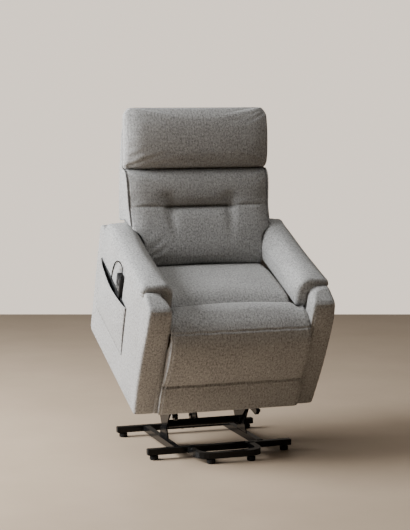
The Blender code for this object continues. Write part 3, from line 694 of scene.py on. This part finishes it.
def side_panel(side, sign):
    """The arm box: flat sides with a little crown, a front post rounded over on its inner side."""
    outline = [(0.004, -0.003), (0.69, -0.003), (0.706, 0.012), (0.706, 0.487), (0.69, 0.502),
               (0.617, 0.502), (0.613, 0.4962), (0.044, 0.4962), (0.044, 0.5235)] + POST_FRONT
    shape = rounded(prism(outline, PANEL_INNER, PANEL_OUTER), 0.007, 3, 60)
    made = piece(f"{side}_side_upholstery", mirrored(shape, sign), None, "fabric_grey")
    remeshed(made, 0.006)
    relaxed(made, 2)
    points = points_of(made)
    points[:, 0] = np.where(np.abs(points[:, 0]) < PANEL_INNER, sign * PANEL_INNER, points[:, 0])
    round_inner_top(points, 0.5215, PANEL_INNER, POST_ROUND, ease(-points[:, 1], -0.05, -0.03))
    facing = normals_of(made)
    y, z = points[:, 1], points[:, 2]
    inset = np.minimum.reduce([y + 0.05 + 0.115 * np.clip(z - 0.2, -1, 0), 0.70 - y, z, 0.50 - z])
    crown = 0.0025 * ease(inset, 0.0, 0.12) * np.clip(facing[:, 0] * sign, 0, 1) ** 2
    front = np.clip(-facing[:, 1], 0, 1) ** 2 * ease(0.04 - np.abs(np.abs(points[:, 0]) - 0.3425), 0, 0.035)
    points[:, 0] += sign * crown
    points[:, 1] -= 0.004 * front
    post = ease(-y, -0.035, 0.0)
    inner = np.clip((PANEL_OUTER - np.abs(points[:, 0])) / (PANEL_OUTER - PANEL_INNER), 0, 1)
    puffed = 0.008 * np.clip(1 - ((z - 0.27) / 0.25) ** 2, 0, 1)
    points[:, 0] += sign * post * (puffed * (1 - inner) - 0.013 * inner)
    if side == "left":
        bed = ease(y, 0.292, 0.303) * ease(-y, -0.379, -0.367)
        bed *= ease(z, 0.255, 0.268) * ease(-z, -0.480, -0.450)
        points[:, 0] += 0.0125 * bed * (np.abs(points[:, 0]) > PANEL_OUTER - 0.012)
    set_points(made, points)
    finer(made)
    points, facing = surface(made)
    x, y, z = np.abs(points[:, 0]), points[:, 1], points[:, 2]
    front = np.where((facing[:, 1] < -0.3) & (y < 0.02), 1.0, 0.0)
    groove(made, x - (PANEL_INNER - 0.004), 0.0016, 0.0035, front * ease(0.46 - z, 0, 0.02))
    groove(made, z - 0.484, 0.0020, 0.0032, front * (x > 0.31))
    outer = np.where(facing[:, 0] * sign > 0.6, 1.0, 0.0)
    groove(made, y - 0.640, 0.0016, 0.0035, outer * ease(0.49 - z, 0, 0.01))
    upholster(made, "chair", 0.9, f"{side}_side_panel")
    flange = rounded(prism(FLANGE, FLANGE_INNER, PANEL_INNER + 0.004), 0.003, 2, 50)
    piece(f"{side}_post_flange", mirrored(flange, sign), "chair", "fabric_grey")
    across = [(sign * x, -0.06, 0.4825) for x in (PANEL_INNER + 0.012, PANEL_OUTER - 0.006)]
    stitches(f"{side}_post_stitches", made, across, (0, 1, 0), "chair")
    return made


def arm_pad(side, sign):
    """The padded cap that lies on the arm, rolls over its inner edge and hangs down the inside."""
    outline = [(0.3880, 0.4968), (0.3925, 0.510)]
    outline += arc((0.3680, 0.5200), 0.0250, 0, 90, 5)
    outline += [(0.335, 0.5485)]
    outline += arc(PAD_ROUND, PAD_RADIUS, 90, 180, 8)
    outline += [(PAD_INNER, 0.4255), (0.3012, 0.4255), (0.3012, 0.4968)]
    shape = prism(outline, PAD_FRONT, PAD_REAR, "Y")
    shape = rounded(shape, 0.021, 6, 60, lambda e: not all(v.co.x > 0.30 and v.co.z < 0.498 for v in e.verts))
    made = piece(f"{side}_arm_cushion", mirrored(shape, sign), None, "fabric_grey")
    remeshed(made, 0.005)
    relaxed(made, 3)
    points = points_of(made)
    x, y, z = np.abs(points[:, 0]), points[:, 1], points[:, 2]
    hidden = np.maximum(ease(x, 0.296, 0.3005) * ease(-z, -0.5005, -0.4985), ease(-z, -0.430, -0.427))
    seam = 0.9 * np.exp(-((z - 0.5125) / 0.006) ** 2) * ease(x, 0.375, 0.385)
    end = 0.85 * np.exp(-((y - PAD_FRONT - 0.026) / 0.007) ** 2)
    swell(made, np.maximum.reduce([hidden, seam, end]), 0.009)
    points = points_of(made)
    points[:, 2] = np.where((np.abs(points[:, 0]) > 0.3015) & (points[:, 2] < 0.4968), 0.4968,
                            points[:, 2])
    side_x = np.abs(points[:, 0])
    side_x = np.where((points[:, 2] < 0.4965) & (side_x > 0.3015), 0.3015, side_x)
    points[:, 0] = sign * np.clip(side_x, 0.2535, 0.3985)
    set_points(made, points)
    finer(made)
    points = points_of(made)
    x, y, z = np.abs(points[:, 0]), points[:, 1], points[:, 2]
    groove(made, z - 0.5125, 0.0038, 0.0036, ease(x, 0.382, 0.387))
    open_side = 1 - ease(x, 0.296, 0.3005) * ease(-z, -0.5005, -0.4985)
    groove(made, y - PAD_FRONT - 0.026, 0.0016, 0.0030, open_side)
    points = points_of(made)
    points[:, 2] += PAD_RISE * ease(y, 0.25, 0.58) * ease(z, 0.505, 0.54)
    set_points(made, points)
    upholster(made, "chair", 0.85, f"{side}_arm_pad")
    along = [(sign * 0.4, y, 0.5165) for y in (PAD_FRONT + 0.03, PAD_REAR - 0.022)]
    stitches(f"{side}_arm_seam_stitches", made, along, (-sign, 0, 0), "chair")
    drop = [(sign * 0.24, PAD_FRONT + 0.0315, z) for z in (0.50, 0.45)]
    stitches(f"{side}_arm_end_stitches", made, drop, (sign, 0, 0), "chair")
    return made


for side_name, side_sign in SIDES:
    side_panel(side_name, side_sign)
    arm_pad(side_name, side_sign)


# ---------------------------------------------------------------- seat and leg rest

SEAT_SIDE = 0.2570


def arch(x):
    """1 in the middle of the seat, 0 at its sides."""
    return np.clip(1 - (x / SEAT_SIDE) ** 2, 0, 1)


def seat_cushion():
    """A boxed cushion, crowned, between the arms."""
    outline = [(0.0795, 0.327), (0.497, 0.327), (0.497, 0.404), (0.470, 0.415), (0.430, 0.424),
               (0.34, 0.438), (0.20, 0.443), (0.12, 0.438), (0.0815, 0.414)]
    shape = rounded(prism(outline, -SEAT_SIDE, SEAT_SIDE), 0.006, 3)
    made = piece("seat_cushion_cover", shape, None, "fabric_grey")
    remeshed(made, 0.006)
    relaxed(made, 2)
    points = points_of(made)
    x, y, z = points.T
    sides = 0.85 * ease(np.abs(x), 0.246, 0.2545) * ease(z, 0.405, 0.425)
    front = 0.8 * ease(-y, -0.105, -0.088)
    held = np.maximum.reduce([ease(-z, -0.345, -0.332), ease(y, 0.485, 0.495), sides, front])
    swell(made, held, 0.014, (0.20, 0.235))
    points = points_of(made)
    x, y, z = points.T
    crown = arch(x) * ease(z, 0.39, 0.43)
    points[:, 2] += 0.004 * crown
    points[:, 1] += 0.012 * crown * ease(-y, -0.14, -0.08)
    points[:, 1] = np.clip(points[:, 1], 0.0780, 0.4995)
    points[:, 2] = np.maximum(points[:, 2], 0.3245)
    set_points(made, points)
    finer(made)
    points, facing = surface(made)
    groove(made, 0.2485 - np.abs(points[:, 0]), 0.0022, 0.0038, ease(facing[:, 2], 0.2, 0.5))
    upholster(made, "chair", 0.8, "seat_cushion")


LOWER_SEAM = (-0.0505, 0.150)
UPPER_SEAM = (-0.0720, 0.396)
CHAISE_REAR = 0.0765
CHAISE_HALF = 0.2895               # over the leg rest; SEAT_SIDE between the arms
CHAISE_FLARE = 0.007               # how much wider its foot is


def chaise_half(y, z):
    """Half the pad's width: narrow between the arms, wide over the leg rest, widest at its foot."""
    between = ease(y, 0.006, 0.034)
    return CHAISE_HALF + CHAISE_FLARE * ease(-z, -0.20, -0.10) - (CHAISE_HALF - SEAT_SIDE) * between


def chaise_pad():
    """One pad from the seat's crease, over the front roll and down the leg rest."""
    outline = [(CHAISE_REAR, 0.327), (CHAISE_REAR, 0.428), (0.068, 0.4375), (0.03, 0.4415),
               (-0.01, 0.4355), (-0.043, 0.4200), UPPER_SEAM, (-0.087, 0.366), (-0.0925, 0.330),
               (-0.086, 0.262), (-0.069, 0.196), LOWER_SEAM, (-0.0570, 0.120), (-0.0520, 0.050),
               (-0.0450, 0.016), (-0.0360, 0.0120), (-0.0302, 0.018), (-0.0302, 0.306),
               (-0.050, 0.336), (-0.062, 0.362), (-0.056, 0.388), (-0.040, 0.400),
               (0.040, 0.400), (0.047, 0.392), (0.047, 0.327)]
    shape = rounded(prism(outline, -CHAISE_HALF, CHAISE_HALF), 0.006, 3, 50)
    made = piece("chaise_cover", shape, None, None, CHAIR, MATERIALS["fabric_grey"])
    remeshed(made, 0.006)
    relaxed(made, 3)
    points = points_of(made)
    x, y, z = points.T
    points[:, 0] *= chaise_half(y, z) / np.abs(x).max()
    set_points(made, points)
    back_side = np.maximum.reduce([ease(y, -0.036, -0.032) * ease(-z, -0.39, -0.37),
                                   ease(y, -0.045, -0.030) * ease(-z, -0.408, -0.402),
                                   ease(y, CHAISE_REAR - 0.008, CHAISE_REAR - 0.002)])
    lower = 0.95 * np.exp(-((z - LOWER_SEAM[1]) / 0.008) ** 2)
    upper = 0.80 * np.exp(-(np.hypot(y - UPPER_SEAM[0], z - UPPER_SEAM[1]) / 0.009) ** 2)
    sides = 0.85 * ease(np.abs(x) - chaise_half(y, z), -0.010, -0.003)
    foot = 0.8 * ease(-z, -0.030, -0.018)
    swell(made, np.maximum.reduce([back_side, lower, upper, sides, foot]), 0.012, (0.20, 0.255))
    points = points_of(made)
    x, y, z = points.T
    points[:, 1] = np.where(z < 0.30, np.minimum(y, -0.0300), np.minimum(y, CHAISE_REAR + 0.0008))
    points[:, 2] += 0.007 * arch(x) * ease(y, -0.03, 0.03) * ease(z, 0.41, 0.435)
    points[:, 1] += 0.012 * arch(x) * ease(y, 0.02, 0.07) * ease(z, 0.405, 0.43)
    points[:, 2] = np.maximum(points[:, 2], 0.0105)
    set_points(made, points)
    finer(made)
    points, facing = surface(made)
    x, y, z = points.T
    outward = ease(-facing[:, 1] + facing[:, 2], 0.1, 0.4)
    pucker = 1 + 0.5 * np.sin(x * 2 * math.pi / 0.021) * ease(np.abs(x), 0.14, 0.26)
    groove(made, z - LOWER_SEAM[1] - 0.0012 * np.sin(x * 55), 0.0055, 0.0050, outward * pucker)
    front = ease(-y, 0.040, 0.052)
    groove(made, z - UPPER_SEAM[1] - 0.0008 * np.sin(x * 70 + 1), 0.0024, 0.0034,
           outward * front * pucker)
    groove(made, chaise_half(y, z) - 0.008 - np.abs(x), 0.0026, 0.0038, outward)
    seams = [("chaise_upper_stitches", UPPER_SEAM[1] + 0.0055, 0.262, "chair"),
             ("chaise_lower_stitches", LOWER_SEAM[1] + 0.0070, 0.265, "legrest")]
    for name, height, half, body in seams:
        stitches(name, made, [(-half, -0.12, height), (half, -0.12, height)], (0, 1, 0), body)
    made.parent = None
    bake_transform(made)
    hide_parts("front_pad", "legrest_pad")


seat_cushion()
chaise_pad()


# ---------------------------------------------------------------- back

HEAD_HALF = 0.314
BACK_HALF = 0.3060                 # the cover between the two cheeks
COLUMN_X = 0.133                   # the channels between the lower back's three columns
BACK_TAPER = 0.007
LUMBAR_SEAM = 0.258
HEAD_SEAM = 0.4125


def dent(points, x, z, wide, high, depth):
    """Push a soft hollow into the back's front."""
    share = np.exp(-((points[:, 0] - x) / wide) ** 2 - ((points[:, 2] - z) / high) ** 2)
    points[:, 1] += depth * share * ease(-points[:, 1], 0.015, 0.05)


def sculpt_back(points):
    """The lumbar seam, deep between the channels, and the channels that run down from its ends."""
    x, z = points[:, 0], points[:, 2]
    front = ease(-points[:, 1], 0.015, 0.05)
    middle = 1 - ease(np.abs(x), 0.120, 0.165)
    wide = 0.022 * middle * np.exp(-(np.abs(z - LUMBAR_SEAM) / 0.020) ** 1.5)
    tight = (0.0035 + 0.012 * middle) * np.exp(-(np.abs(z - LUMBAR_SEAM) / 0.0055) ** 2)
    points[:, 1] += front * (wide + tight)
    for sign in (-1, 1):
        below = np.clip(LUMBAR_SEAM - z, 0, 1)
        fade = np.exp(-(below / 0.075) ** 2) * (z < LUMBAR_SEAM)
        lean = sign * (COLUMN_X - 0.10 * below)
        points[:, 1] += front * 0.014 * fade * np.exp(-((x - lean) / 0.019) ** 2)
        dent(points, sign * COLUMN_X, LUMBAR_SEAM + 0.030, 0.035, 0.026, 0.010)


def soften_sides(points, half, reach, depth):
    """Let the front fall away in a soft curve towards the sides."""
    near = np.clip((np.abs(points[:, 0]) - half + reach) / reach, 0, 1)
    points[:, 1] += depth * near ** 2.4 * ease(-points[:, 1], 0.015, 0.05)


def height_over_pan(points):
    """A back point's height in the chair frame."""
    return BACK_AXIS.z - math.sin(LIFT_TILT) * points[:, 1] + math.cos(LIFT_TILT) * points[:, 2]


def taper(z):
    """How much narrower each side of the back is towards the arms."""
    return BACK_TAPER * ease(HEAD_SEAM - z, 0.0, 0.22)


def back_width(points):
    """Half the back's width: full above the arms, then drawn in along the arm pads' round edge."""
    above = height_over_pan(points) - PAD_ROUND[1] - PAD_RISE
    round_edge = PAD_ROUND[0] - np.sqrt(np.clip(PAD_RADIUS ** 2 - np.clip(above, 0, 1) ** 2, 0, 1))
    return np.clip(round_edge, PAD_INNER, BACK_HALF - taper(points[:, 2]))


def finish_back(made, node_names, fill, edge_seam):
    """Refine a back cushion, sew its edge seam and let it ride on the back."""
    finer(made)
    points, facing = surface(made)
    groove(made, np.abs(points[:, 0]) - edge_seam, 0.0014, 0.0026, ease(-facing[:, 1], 0.15, 0.45), 0.1)
    upholster(made, "back", fill, *node_names)


def back_cover():
    """One cover over the lumbar band and the lower back's three soft columns."""
    outline = [(-0.0215, 0.094), (-0.0105, 0.100), (-0.0105, HEAD_SEAM), (-0.040, HEAD_SEAM),
               (-0.064, 0.400), (-0.078, 0.372), (-0.085, 0.330), (-0.085, 0.290),
               (-0.091, LUMBAR_SEAM), (-0.105, 0.222), (-0.128, 0.165), (-0.145, 0.105),
               (-0.150, 0.060), (-0.148, 0.034), (-0.138, 0.018), (-0.118, 0.010), (-0.090, 0.014),
               (-0.078, 0.034)]
    shape = rounded(prism(outline, -BACK_HALF, BACK_HALF), 0.005, 3, 45)
    made = piece("back_cover", shape, None, "fabric_grey", BACK)
    remeshed(made, 0.006)
    relaxed(made, 3)
    points = points_of(made)
    points[:, 0] *= back_width(points) / BACK_HALF
    set_points(made, points)
    x, y, z = points.T
    seam = 0.9 * np.exp(-((z - LUMBAR_SEAM) / 0.007) ** 2) * (1 - ease(np.abs(x), 0.13, 0.18))
    sides = 0.8 * ease(np.abs(x) - back_width(points), -0.010, -0.003)
    swell(made, np.maximum.reduce([ease(y, -0.030, -0.018), seam, sides]), 0.014, (0.21, 0.25))
    points = points_of(made)
    sculpt_back(points)
    soften_sides(points, BACK_HALF, 0.075, 0.012)
    width = back_width(points)
    points[:, 0] = np.clip(points[:, 0], -width, width)
    points[:, 2] = np.minimum(points[:, 2], HEAD_SEAM)
    set_points(made, points)
    finish_back(made, ("lower_back_cushion", "lumbar_cushion"), 0.75, BACK_HALF - 0.005)


def head():
    """The head cushion: a full roll whose lower edge hangs over the lumbar band."""
    outline = [(-0.0105, HEAD_SEAM + 0.0005), (-0.0105, 0.640), (-0.018, 0.660), (-0.034, 0.672),
               (-0.050, 0.664), (-0.070, 0.632), (-0.081, 0.585), (-0.085, 0.530), (-0.084, 0.475),
               (-0.076, 0.436), (-0.056, HEAD_SEAM + 0.0005)]
    shape = rounded(prism(outline, -HEAD_HALF, HEAD_HALF), 0.010, 3, 45)
    made = piece("head_cover", shape, None, "fabric_grey", BACK)
    remeshed(made, 0.006)
    relaxed(made, 3)
    points = points_of(made)
    x, y, _ = points.T
    sides = 0.8 * ease(np.abs(x), HEAD_HALF - 0.010, HEAD_HALF - 0.003)
    swell(made, np.maximum(ease(y, -0.030, -0.018), sides), 0.014, (0.25, 0.29))
    points = points_of(made)
    soften_sides(points, HEAD_HALF, 0.085, 0.024)
    round_top_corners(points, 0.6775, HEAD_HALF + 0.001, 0.066)
    dent(points, -0.285, 0.426, 0.020, 0.010, 0.010)
    points[:, 0] = np.clip(points[:, 0], -HEAD_HALF - 0.001, HEAD_HALF + 0.001)
    points[:, 2] = np.clip(points[:, 2], HEAD_SEAM + 0.0005, 0.6790)
    set_points(made, points)
    finish_back(made, ("head_cushion",), 0.85, HEAD_HALF - 0.005)
    stitches("head_top_stitches", made, [(-0.26, -0.026, 0.70), (0.26, -0.026, 0.70)], (0, 0, -1), "back")


def round_top_corners(points, top, half, radius):
    """Round the two upper corners as seen from the front."""
    across = np.abs(points[:, 0]) - (half - radius)
    above = points[:, 2] - (top - radius)
    near, scale = corner_share(across, above, radius)
    points[:, 0] = np.where(near, np.sign(points[:, 0]) * (half - radius + across * scale), points[:, 0])
    points[:, 2] = np.where(near, top - radius + above * scale, points[:, 2])


def cheek(side, sign):
    """The gusset that closes the side of the back, from the arm up behind the head cushion."""
    front = [(-0.008, 0.205), (-0.040, 0.200), (-0.108, 0.180), (-0.092, 0.222), (-0.079, 0.258),
             (-0.073, 0.330), (-0.067, 0.372), (-0.054, 0.398), (-0.034, 0.4115), (-0.008, 0.4115)]
    rear = [(-0.0095, 0.200), (0.030, 0.198), (0.040, 0.205), (0.037, 0.30), (0.030, 0.42),
            (0.017, 0.485), (0.004, 0.545), (-0.006, 0.580), (-0.0095, 0.580)]
    shape = joined(rounded(prism(front, BACK_HALF + 0.0004, HEAD_HALF), 0.0020, 2, 50),
                   rounded(prism(rear, 0.2915, HEAD_HALF), 0.0030, 3, 50))
    made = piece(f"{side}_back_gusset", mirrored(shape, sign), None, "fabric_grey", BACK)
    remeshed(made, 0.003)
    relaxed(made, 2)
    points = points_of(made)
    points[:, 0] -= sign * taper(points[:, 2]) * ease(-points[:, 1], -0.035, 0.0)
    set_points(made, points)
    upholster(made, "back", 0.9)


def back_shell():
    """The upholstered shell behind the back, with its seams."""
    upper = [(0.0096, 0.172), (0.0545, 0.172), (0.0555, 0.58), (0.044, 0.618), (0.0096, 0.633)]
    lower = [(0.0096, 0.104), (0.0212, 0.094), (0.0212, -0.004), (0.049, -0.028), (0.0555, 0.0),
             (0.0555, 0.18), (0.0096, 0.18)]
    made = piece("back_shell_cover", rounded(prism(upper, -0.290, 0.290), 0.012), None,
                 "fabric_grey", BACK)
    tool = piece("shell_tool", rounded(prism(lower, -0.249, 0.249), 0.006), None, None, BACK,
                 MATERIALS["fabric_grey"])
    combined(made, tool, "UNION")
    remeshed(made, 0.006)
    relaxed(made, 3)
    points = points_of(made)
    x, y, z = points.T
    round_top_corners(points, 0.634, 0.290, 0.035)
    crown = ease(y, 0.045, 0.054) * ease(0.27 - np.abs(x), 0, 0.12) * ease(z, 0.0, 0.12)
    points[:, 1] += 0.004 * crown * ease(0.62 - z, 0, 0.12)
    set_points(made, points)
    finer(made)
    points, facing = surface(made)
    rear = ease(facing[:, 1], 0.4, 0.7)
    groove(made, np.abs(points[:, 0]) - 0.235, 0.0026, 0.0040, rear)
    groove(made, points[:, 2] - 0.185, 0.0026, 0.0040, rear)
    upholster(made, "back", 0.9, "back_shell")
    for sign, word in ((1, "left"), (-1, "right")):
        line = [(sign * 0.2295, 0.1, 0.01), (sign * 0.2295, 0.1, 0.60)]
        stitches(f"shell_{word}_stitches", made, line, (0, -1, 0), "back")


def rear_cover():
    """The padded cover below the back, cut out round the power inlet."""
    shape = rounded(block((-0.3005, 0.6885, 0.031), (0.3005, 0.6985, 0.359)), 0.003, 2)
    made = piece("rear_cover", shape, None, "fabric_grey")
    tool = piece("inlet_tool", block((-0.132, 0.60, 0.068), (-0.068, 0.75, 0.112)), None, None,
                 CHAIR, MATERIALS["fabric_grey"])
    combined(made, tool, "DIFFERENCE")
    remeshed(made, 0.0035)
    relaxed(made, 2)
    points, facing = surface(made)
    inset = np.minimum.reduce([0.30 - np.abs(points[:, 0]), points[:, 2] - 0.031, 0.359 - points[:, 2]])
    points[:, 1] += 0.003 * ease(inset, 0, 0.05) * np.clip(facing[:, 1], 0, 1)
    set_points(made, points)
    rear = ease(facing[:, 1], 0.4, 0.7)
    groove(made, inset - 0.016, 0.0020, 0.0035, rear)
    upholster(made, "chair", 0.9, "rear_panel")


back_cover()
head()
for side_name, side_sign in SIDES:
    cheek(side_name, side_sign)
back_shell()
rear_cover()


# ---------------------------------------------------------------- pocket and handset

POCKET_FRONT = 0.221
POCKET_REAR = 0.617
POCKET_BOTTOM = 0.146
POCKET_FACE = 0.3868
POCKET_BULGE = 0.0205
POCKET_THICK = 0.0018


def pocket_point(u, v, out=0.0):
    """A point of the pocket at shares u of its width and v of its height, a little further out."""
    mouth = 0.358 + 0.026 * u - 0.007 * math.sin(math.pi * u)
    rise = POCKET_BULGE * max(math.sin(math.pi * u), 0) ** 0.45 * math.sin(math.pi / 2 * min(v / 0.62, 1))
    wave = 0.0012 * math.sin(9 * u + 4 * v) * math.sin(math.pi * u) * v
    return Vector((-(POCKET_FACE + rise + wave + out), POCKET_FRONT + (POCKET_REAR - POCKET_FRONT) * u,
                   POCKET_BOTTOM + (mouth - POCKET_BOTTOM) * v))


def pocket():
    """The pocket's patch of cloth, its hem and its stitching, with a dark tube along its stitched edges as a
    painted shadow line and a black sheet in its mouth as painted shade.
    """
    columns, rows = 72, 38
    shape = bmesh.new()
    grid = [[shape.verts.new(pocket_point(i / columns, j / rows)) for i in range(columns + 1)]
            for j in range(rows + 1)]
    for low, high in zip(grid, grid[1:]):
        for a, b, c, d in zip(low, low[1:], high[1:], high):
            shape.faces.new((a, b, c, d))
    patch = piece("pocket_patch", shape, "chair", "fabric_grey")
    solid = patch.modifiers.new("thickness", "SOLIDIFY")
    solid.thickness = POCKET_THICK
    solid.offset = 0.0
    apply_modifiers(patch)
    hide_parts("pocket_panel")
    mouth = [pocket_point(k / 60, 1.0) for k in range(61)]
    hem = piece("pocket_hem", tube(mouth, [0.0021] * 61), "chair", "fabric_grey")
    # A thin dark tube along the pocket's front, bottom and rear edges, in the black cloth: a painted shadow line
    # in the seam.
    seam_shadow_line = [pocket_point(0.002, 1 - k / 30, 0.0002) for k in range(31)]
    seam_shadow_line += [pocket_point(k / 40, 0.0, 0.0002) for k in range(1, 41)]
    seam_shadow_line += [pocket_point(1.0, k / 30, 0.0002) for k in range(1, 31)]
    radii = [0.0011 + 0.0005 * math.sin(k * 1.9) for k in range(len(seam_shadow_line))]
    seam = piece("pocket_seam_painted_shadow", tube(seam_shadow_line, radii), "chair", "lining_black")
    # A black sheet just inside the pocket's mouth: painted shade over the panel behind the opening.
    upper = [(pocket_point(u, 1.0).y, pocket_point(u, 1.0).z + 0.010 * math.sin(math.pi * u) - 0.001)
             for u in np.linspace(0.97, 0.02, 20)]
    inside = prism([(0.232, 0.16), (0.605, 0.16)] + upper, -0.3868, -0.3860)
    piece("pocket_painted_shade_sheet", inside, "chair", "lining_black")
    line = [tuple(pocket_point(u, 0.955)) for u in np.linspace(0.02, 0.98, 12)]
    stitches("pocket_hem_stitches", patch, [(-0.45, y, z) for _, y, z in line], (1, 0, 0), "chair")


def handset_trim():
    """The handset's parting line, its face plate and the arrows on its keys."""
    low, high = (0.306, 0.27), (0.364, 0.445)
    corners = []
    for centre, start in (((high[0] - 0.004, high[1] - 0.004), 0), ((low[0] + 0.004, high[1] - 0.004), 90),
                          ((low[0] + 0.004, low[1] + 0.004), 180), ((high[0] - 0.004, low[1] + 0.004), 270)):
        corners += arc(centre, 0.0041, start, start + 90, 4)
    ring = [(-0.3848, y, z) for y, z in corners]
    piece("handset_parting_line", tube(ring + ring[:1], [0.0006] * (len(ring) + 1), 6), "chair", "rubber")
    plate = rounded(prism([(0.311, 0.277), (0.359, 0.277), (0.359, 0.381), (0.311, 0.381)],
                          -0.3962, -0.3954), 0.0003, 2)
    piece("handset_face_plate", plate, "chair", "black_plastic")
    keys = (("back_up", 0.323, 0.425, 1, "light_plastic"), ("back_down", 0.347, 0.425, -1, "light_plastic"),
            ("lift", 0.323, 0.395, 1, "black_plastic"), ("lower", 0.347, 0.395, -1, "black_plastic"))
    for name, y, z, way, slot in keys:
        arrow = [(y - 0.0042, z - 0.003 * way), (y + 0.0042, z - 0.003 * way), (y, z + 0.004 * way)]
        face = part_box(f"button_{name}")[0][0]
        outer = (CHAIR.inverted() @ Vector((face, 0, 0))).x
        piece(f"arrow_{name}", prism(arrow, outer - 0.0003, outer + 0.0002), f"key_{name}", slot)


pocket()
handset_trim()


# ---------------------------------------------------------------- steel fittings

WORLD = Matrix.Identity(4)
BEAD_RADIUS = 0.0022
LINK_PLANE = 0.174                 # the outer face of the risers and of the hangers


def bead(name, points):
    """A weld bead with its ripples along a line of corners."""
    line = []
    for a, b in zip(points, points[1:]):
        a, b = Vector(a), Vector(b)
        count = max(int((b - a).length / 0.0016), 2)
        line += [a.lerp(b, k / count) for k in range(count)]
    line.append(Vector(points[-1]))
    radii = [BEAD_RADIUS * (1 + 0.2 * math.sin(k * 1.7) + 0.1 * math.sin(k * 0.61)) for k in range(len(line))]
    piece(name, tube(line, radii), "base", "black_steel", WORLD)


def end_caps():
    """Plastic plugs in the four open ends of the crossbars."""
    for bar in ("front_crossbar", "rear_crossbar"):
        low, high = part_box(bar)
        for side, sign in SIDES:
            start = high[0] if sign > 0 else low[0]
            near, far = sorted((start - sign * 0.0005, start + sign * 0.0035))
            shape = block((near, low[1] + 0.0004, low[2] + 0.0004), (far, high[1] - 0.0004, high[2] - 0.0004),
                          0.0014)
            piece(f"{bar}_{side}_cap", shape, "base", "black_plastic", WORLD)


def welds():
    """Beads where the base's tubes and risers meet."""
    front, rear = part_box("front_crossbar"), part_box("rear_crossbar")
    for side, sign in SIDES:
        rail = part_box(f"{side}_rail")
        for bar, y in (("front", front[1][1]), ("rear", rear[0][1])):
            corners = [(rail[0][0], y, rail[0][2] + 0.003), (rail[0][0], y, rail[1][2]),
                       (rail[1][0], y, rail[1][2]), (rail[1][0], y, rail[0][2] + 0.003)]
            bead(f"{side}_rail_{bar}_weld", corners)
        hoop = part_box("front_hoop")
        outer = hoop[1][0] if sign > 0 else hoop[0][0]
        inner = outer - sign * (rail[1][0] - rail[0][0])
        y, top = front[0][1], front[1][2]
        bead(f"{side}_hoop_weld", [(outer, y, top - 0.022), (outer, y, top), (inner, y, top),
                                   (inner, y, top - 0.022)])
        plate = sign * LINK_PLANE
        bead(f"{side}_riser_weld", [(plate, 0.0, rail[1][2] + 0.0008), (plate, 0.098, rail[1][2] + 0.0008)])


def hexagon(name, body, centre, radius, low, high):
    """A hexagon head or nut, with its axis across the chair, at (y, z) in the world."""
    shape = rounded(prism(arc(centre, radius, 0, 300, 5), min(low, high), max(low, high)), 0.0007, 2, 25)
    piece(name, shape, body, "zinc", WORLD)


def pivots():
    """Nuts and bolt heads at the lift linkage's pins."""
    lift = joint_at("lift")
    front = joint_at("front_link")
    rear = joint_at("chair_tilt")
    for side, sign in SIDES:
        hexagon(f"{side}_lift_pivot_nut", "base", (lift.y, lift.z), 0.0095, sign * 0.1742, sign * 0.1768)
        hexagon(f"{side}_front_pivot_bolt", "base", (front.y, front.z), 0.0075, sign * 0.1880, sign * 0.1915)
        hexagon(f"{side}_rear_pivot_nut", "chair", (rear.y, rear.z), 0.0095, sign * 0.1742, sign * 0.1780)


def crossbar_screws():
    """Two screws up through the rear crossbar."""
    low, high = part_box("rear_crossbar")
    middle = (low[1] + high[1]) / 2
    for number, x in enumerate((-0.0135, 0.036), 1):
        shape = prism(arc((x, middle), 0.0055, 0, 300, 5), low[2] - 0.0035, low[2] - 0.0001, "Z")
        piece(f"crossbar_screw_{number}", rounded(shape, 0.0006, 2, 25), "base", "black_steel", WORLD)


end_caps()
welds()
pivots()
crossbar_screws()


# ---------------------------------------------------------------- floor and light

def stage():
    """A pale floor."""
    shape = bmesh.new()
    bmesh.ops.create_grid(shape, x_segments=1, y_segments=1, size=3.9)
    mesh = bpy.data.meshes.new("floor")
    shape.to_mesh(mesh)
    shape.free()
    made, tree, sockets = material("floor", Specular_IOR_Level=0.35)
    place = place_in(tree)
    cloud = noise(tree, place, 1.6, 5.0, 0.6)
    set_links(tree, sockets, Base_Color=ramp(tree, cloud, [(0.3, (0.47, 0.365, 0.265)),
                                                           (0.7, (0.53, 0.415, 0.305))]),
              Roughness=spread(tree, noise(tree, place, 5.0, 3.0), 0.38, 0.55))
    mesh.materials.append(made)
    floor = bpy.data.objects.new("floor", mesh)
    floor.rotation_euler = (0, 0, math.radians(-18.86))
    bpy.context.scene.collection.objects.link(floor)


def area_light(name, place, aim, size, power, colour):
    """A soft square light aimed at a point."""
    data = bpy.data.lights.new(name, "AREA")
    data.size = size
    data.energy = power
    data.color = colour
    made = bpy.data.objects.new(name, data)
    made.location = place
    made.rotation_euler = (Vector(aim) - Vector(place)).to_track_quat("-Z", "Y").to_euler()
    bpy.context.scene.collection.objects.link(made)


def surroundings():
    """Pale warm walls all round: bright to look at, a soft light on the chair, less from in front."""
    world = bpy.data.worlds.new("world")
    world.use_nodes = True
    tree = world.node_tree
    shade = tree.nodes["Background"]
    seen = node(tree, "ShaderNodeLightPath").outputs["Is Camera Ray"]
    toward = node(tree, "ShaderNodeTexCoord").outputs["Generated"]
    behind = node(tree, "ShaderNodeSeparateXYZ", {0: toward}).outputs["Y"]
    fill = node(tree, "ShaderNodeMapRange", {"Value": behind, "From Min": -0.5, "From Max": 0.4,
                                             "To Min": FRONT_FILL, "To Max": FILL_LIGHT}).outputs[0]
    tree.links.new(mix(tree, seen, fill, WALL_LIGHT), shade.inputs["Strength"])
    shade.inputs["Color"].default_value = (0.88, 0.77, 0.65, 1.0)
    bpy.context.scene.world = world


FILL_LIGHT = 0.18
FRONT_FILL = 0.03
WALL_LIGHT = 1.5
stage()
surroundings()
area_light("window", (-3.4, 0.7, 2.2), (0, 0, 0.8), 2.5, 450, (0.97, 0.985, 1.0))
area_light("overhead", (-0.4, -0.6, 3.4), (0, 0, 0.6), 2.4, 36, (1.0, 0.985, 0.96))
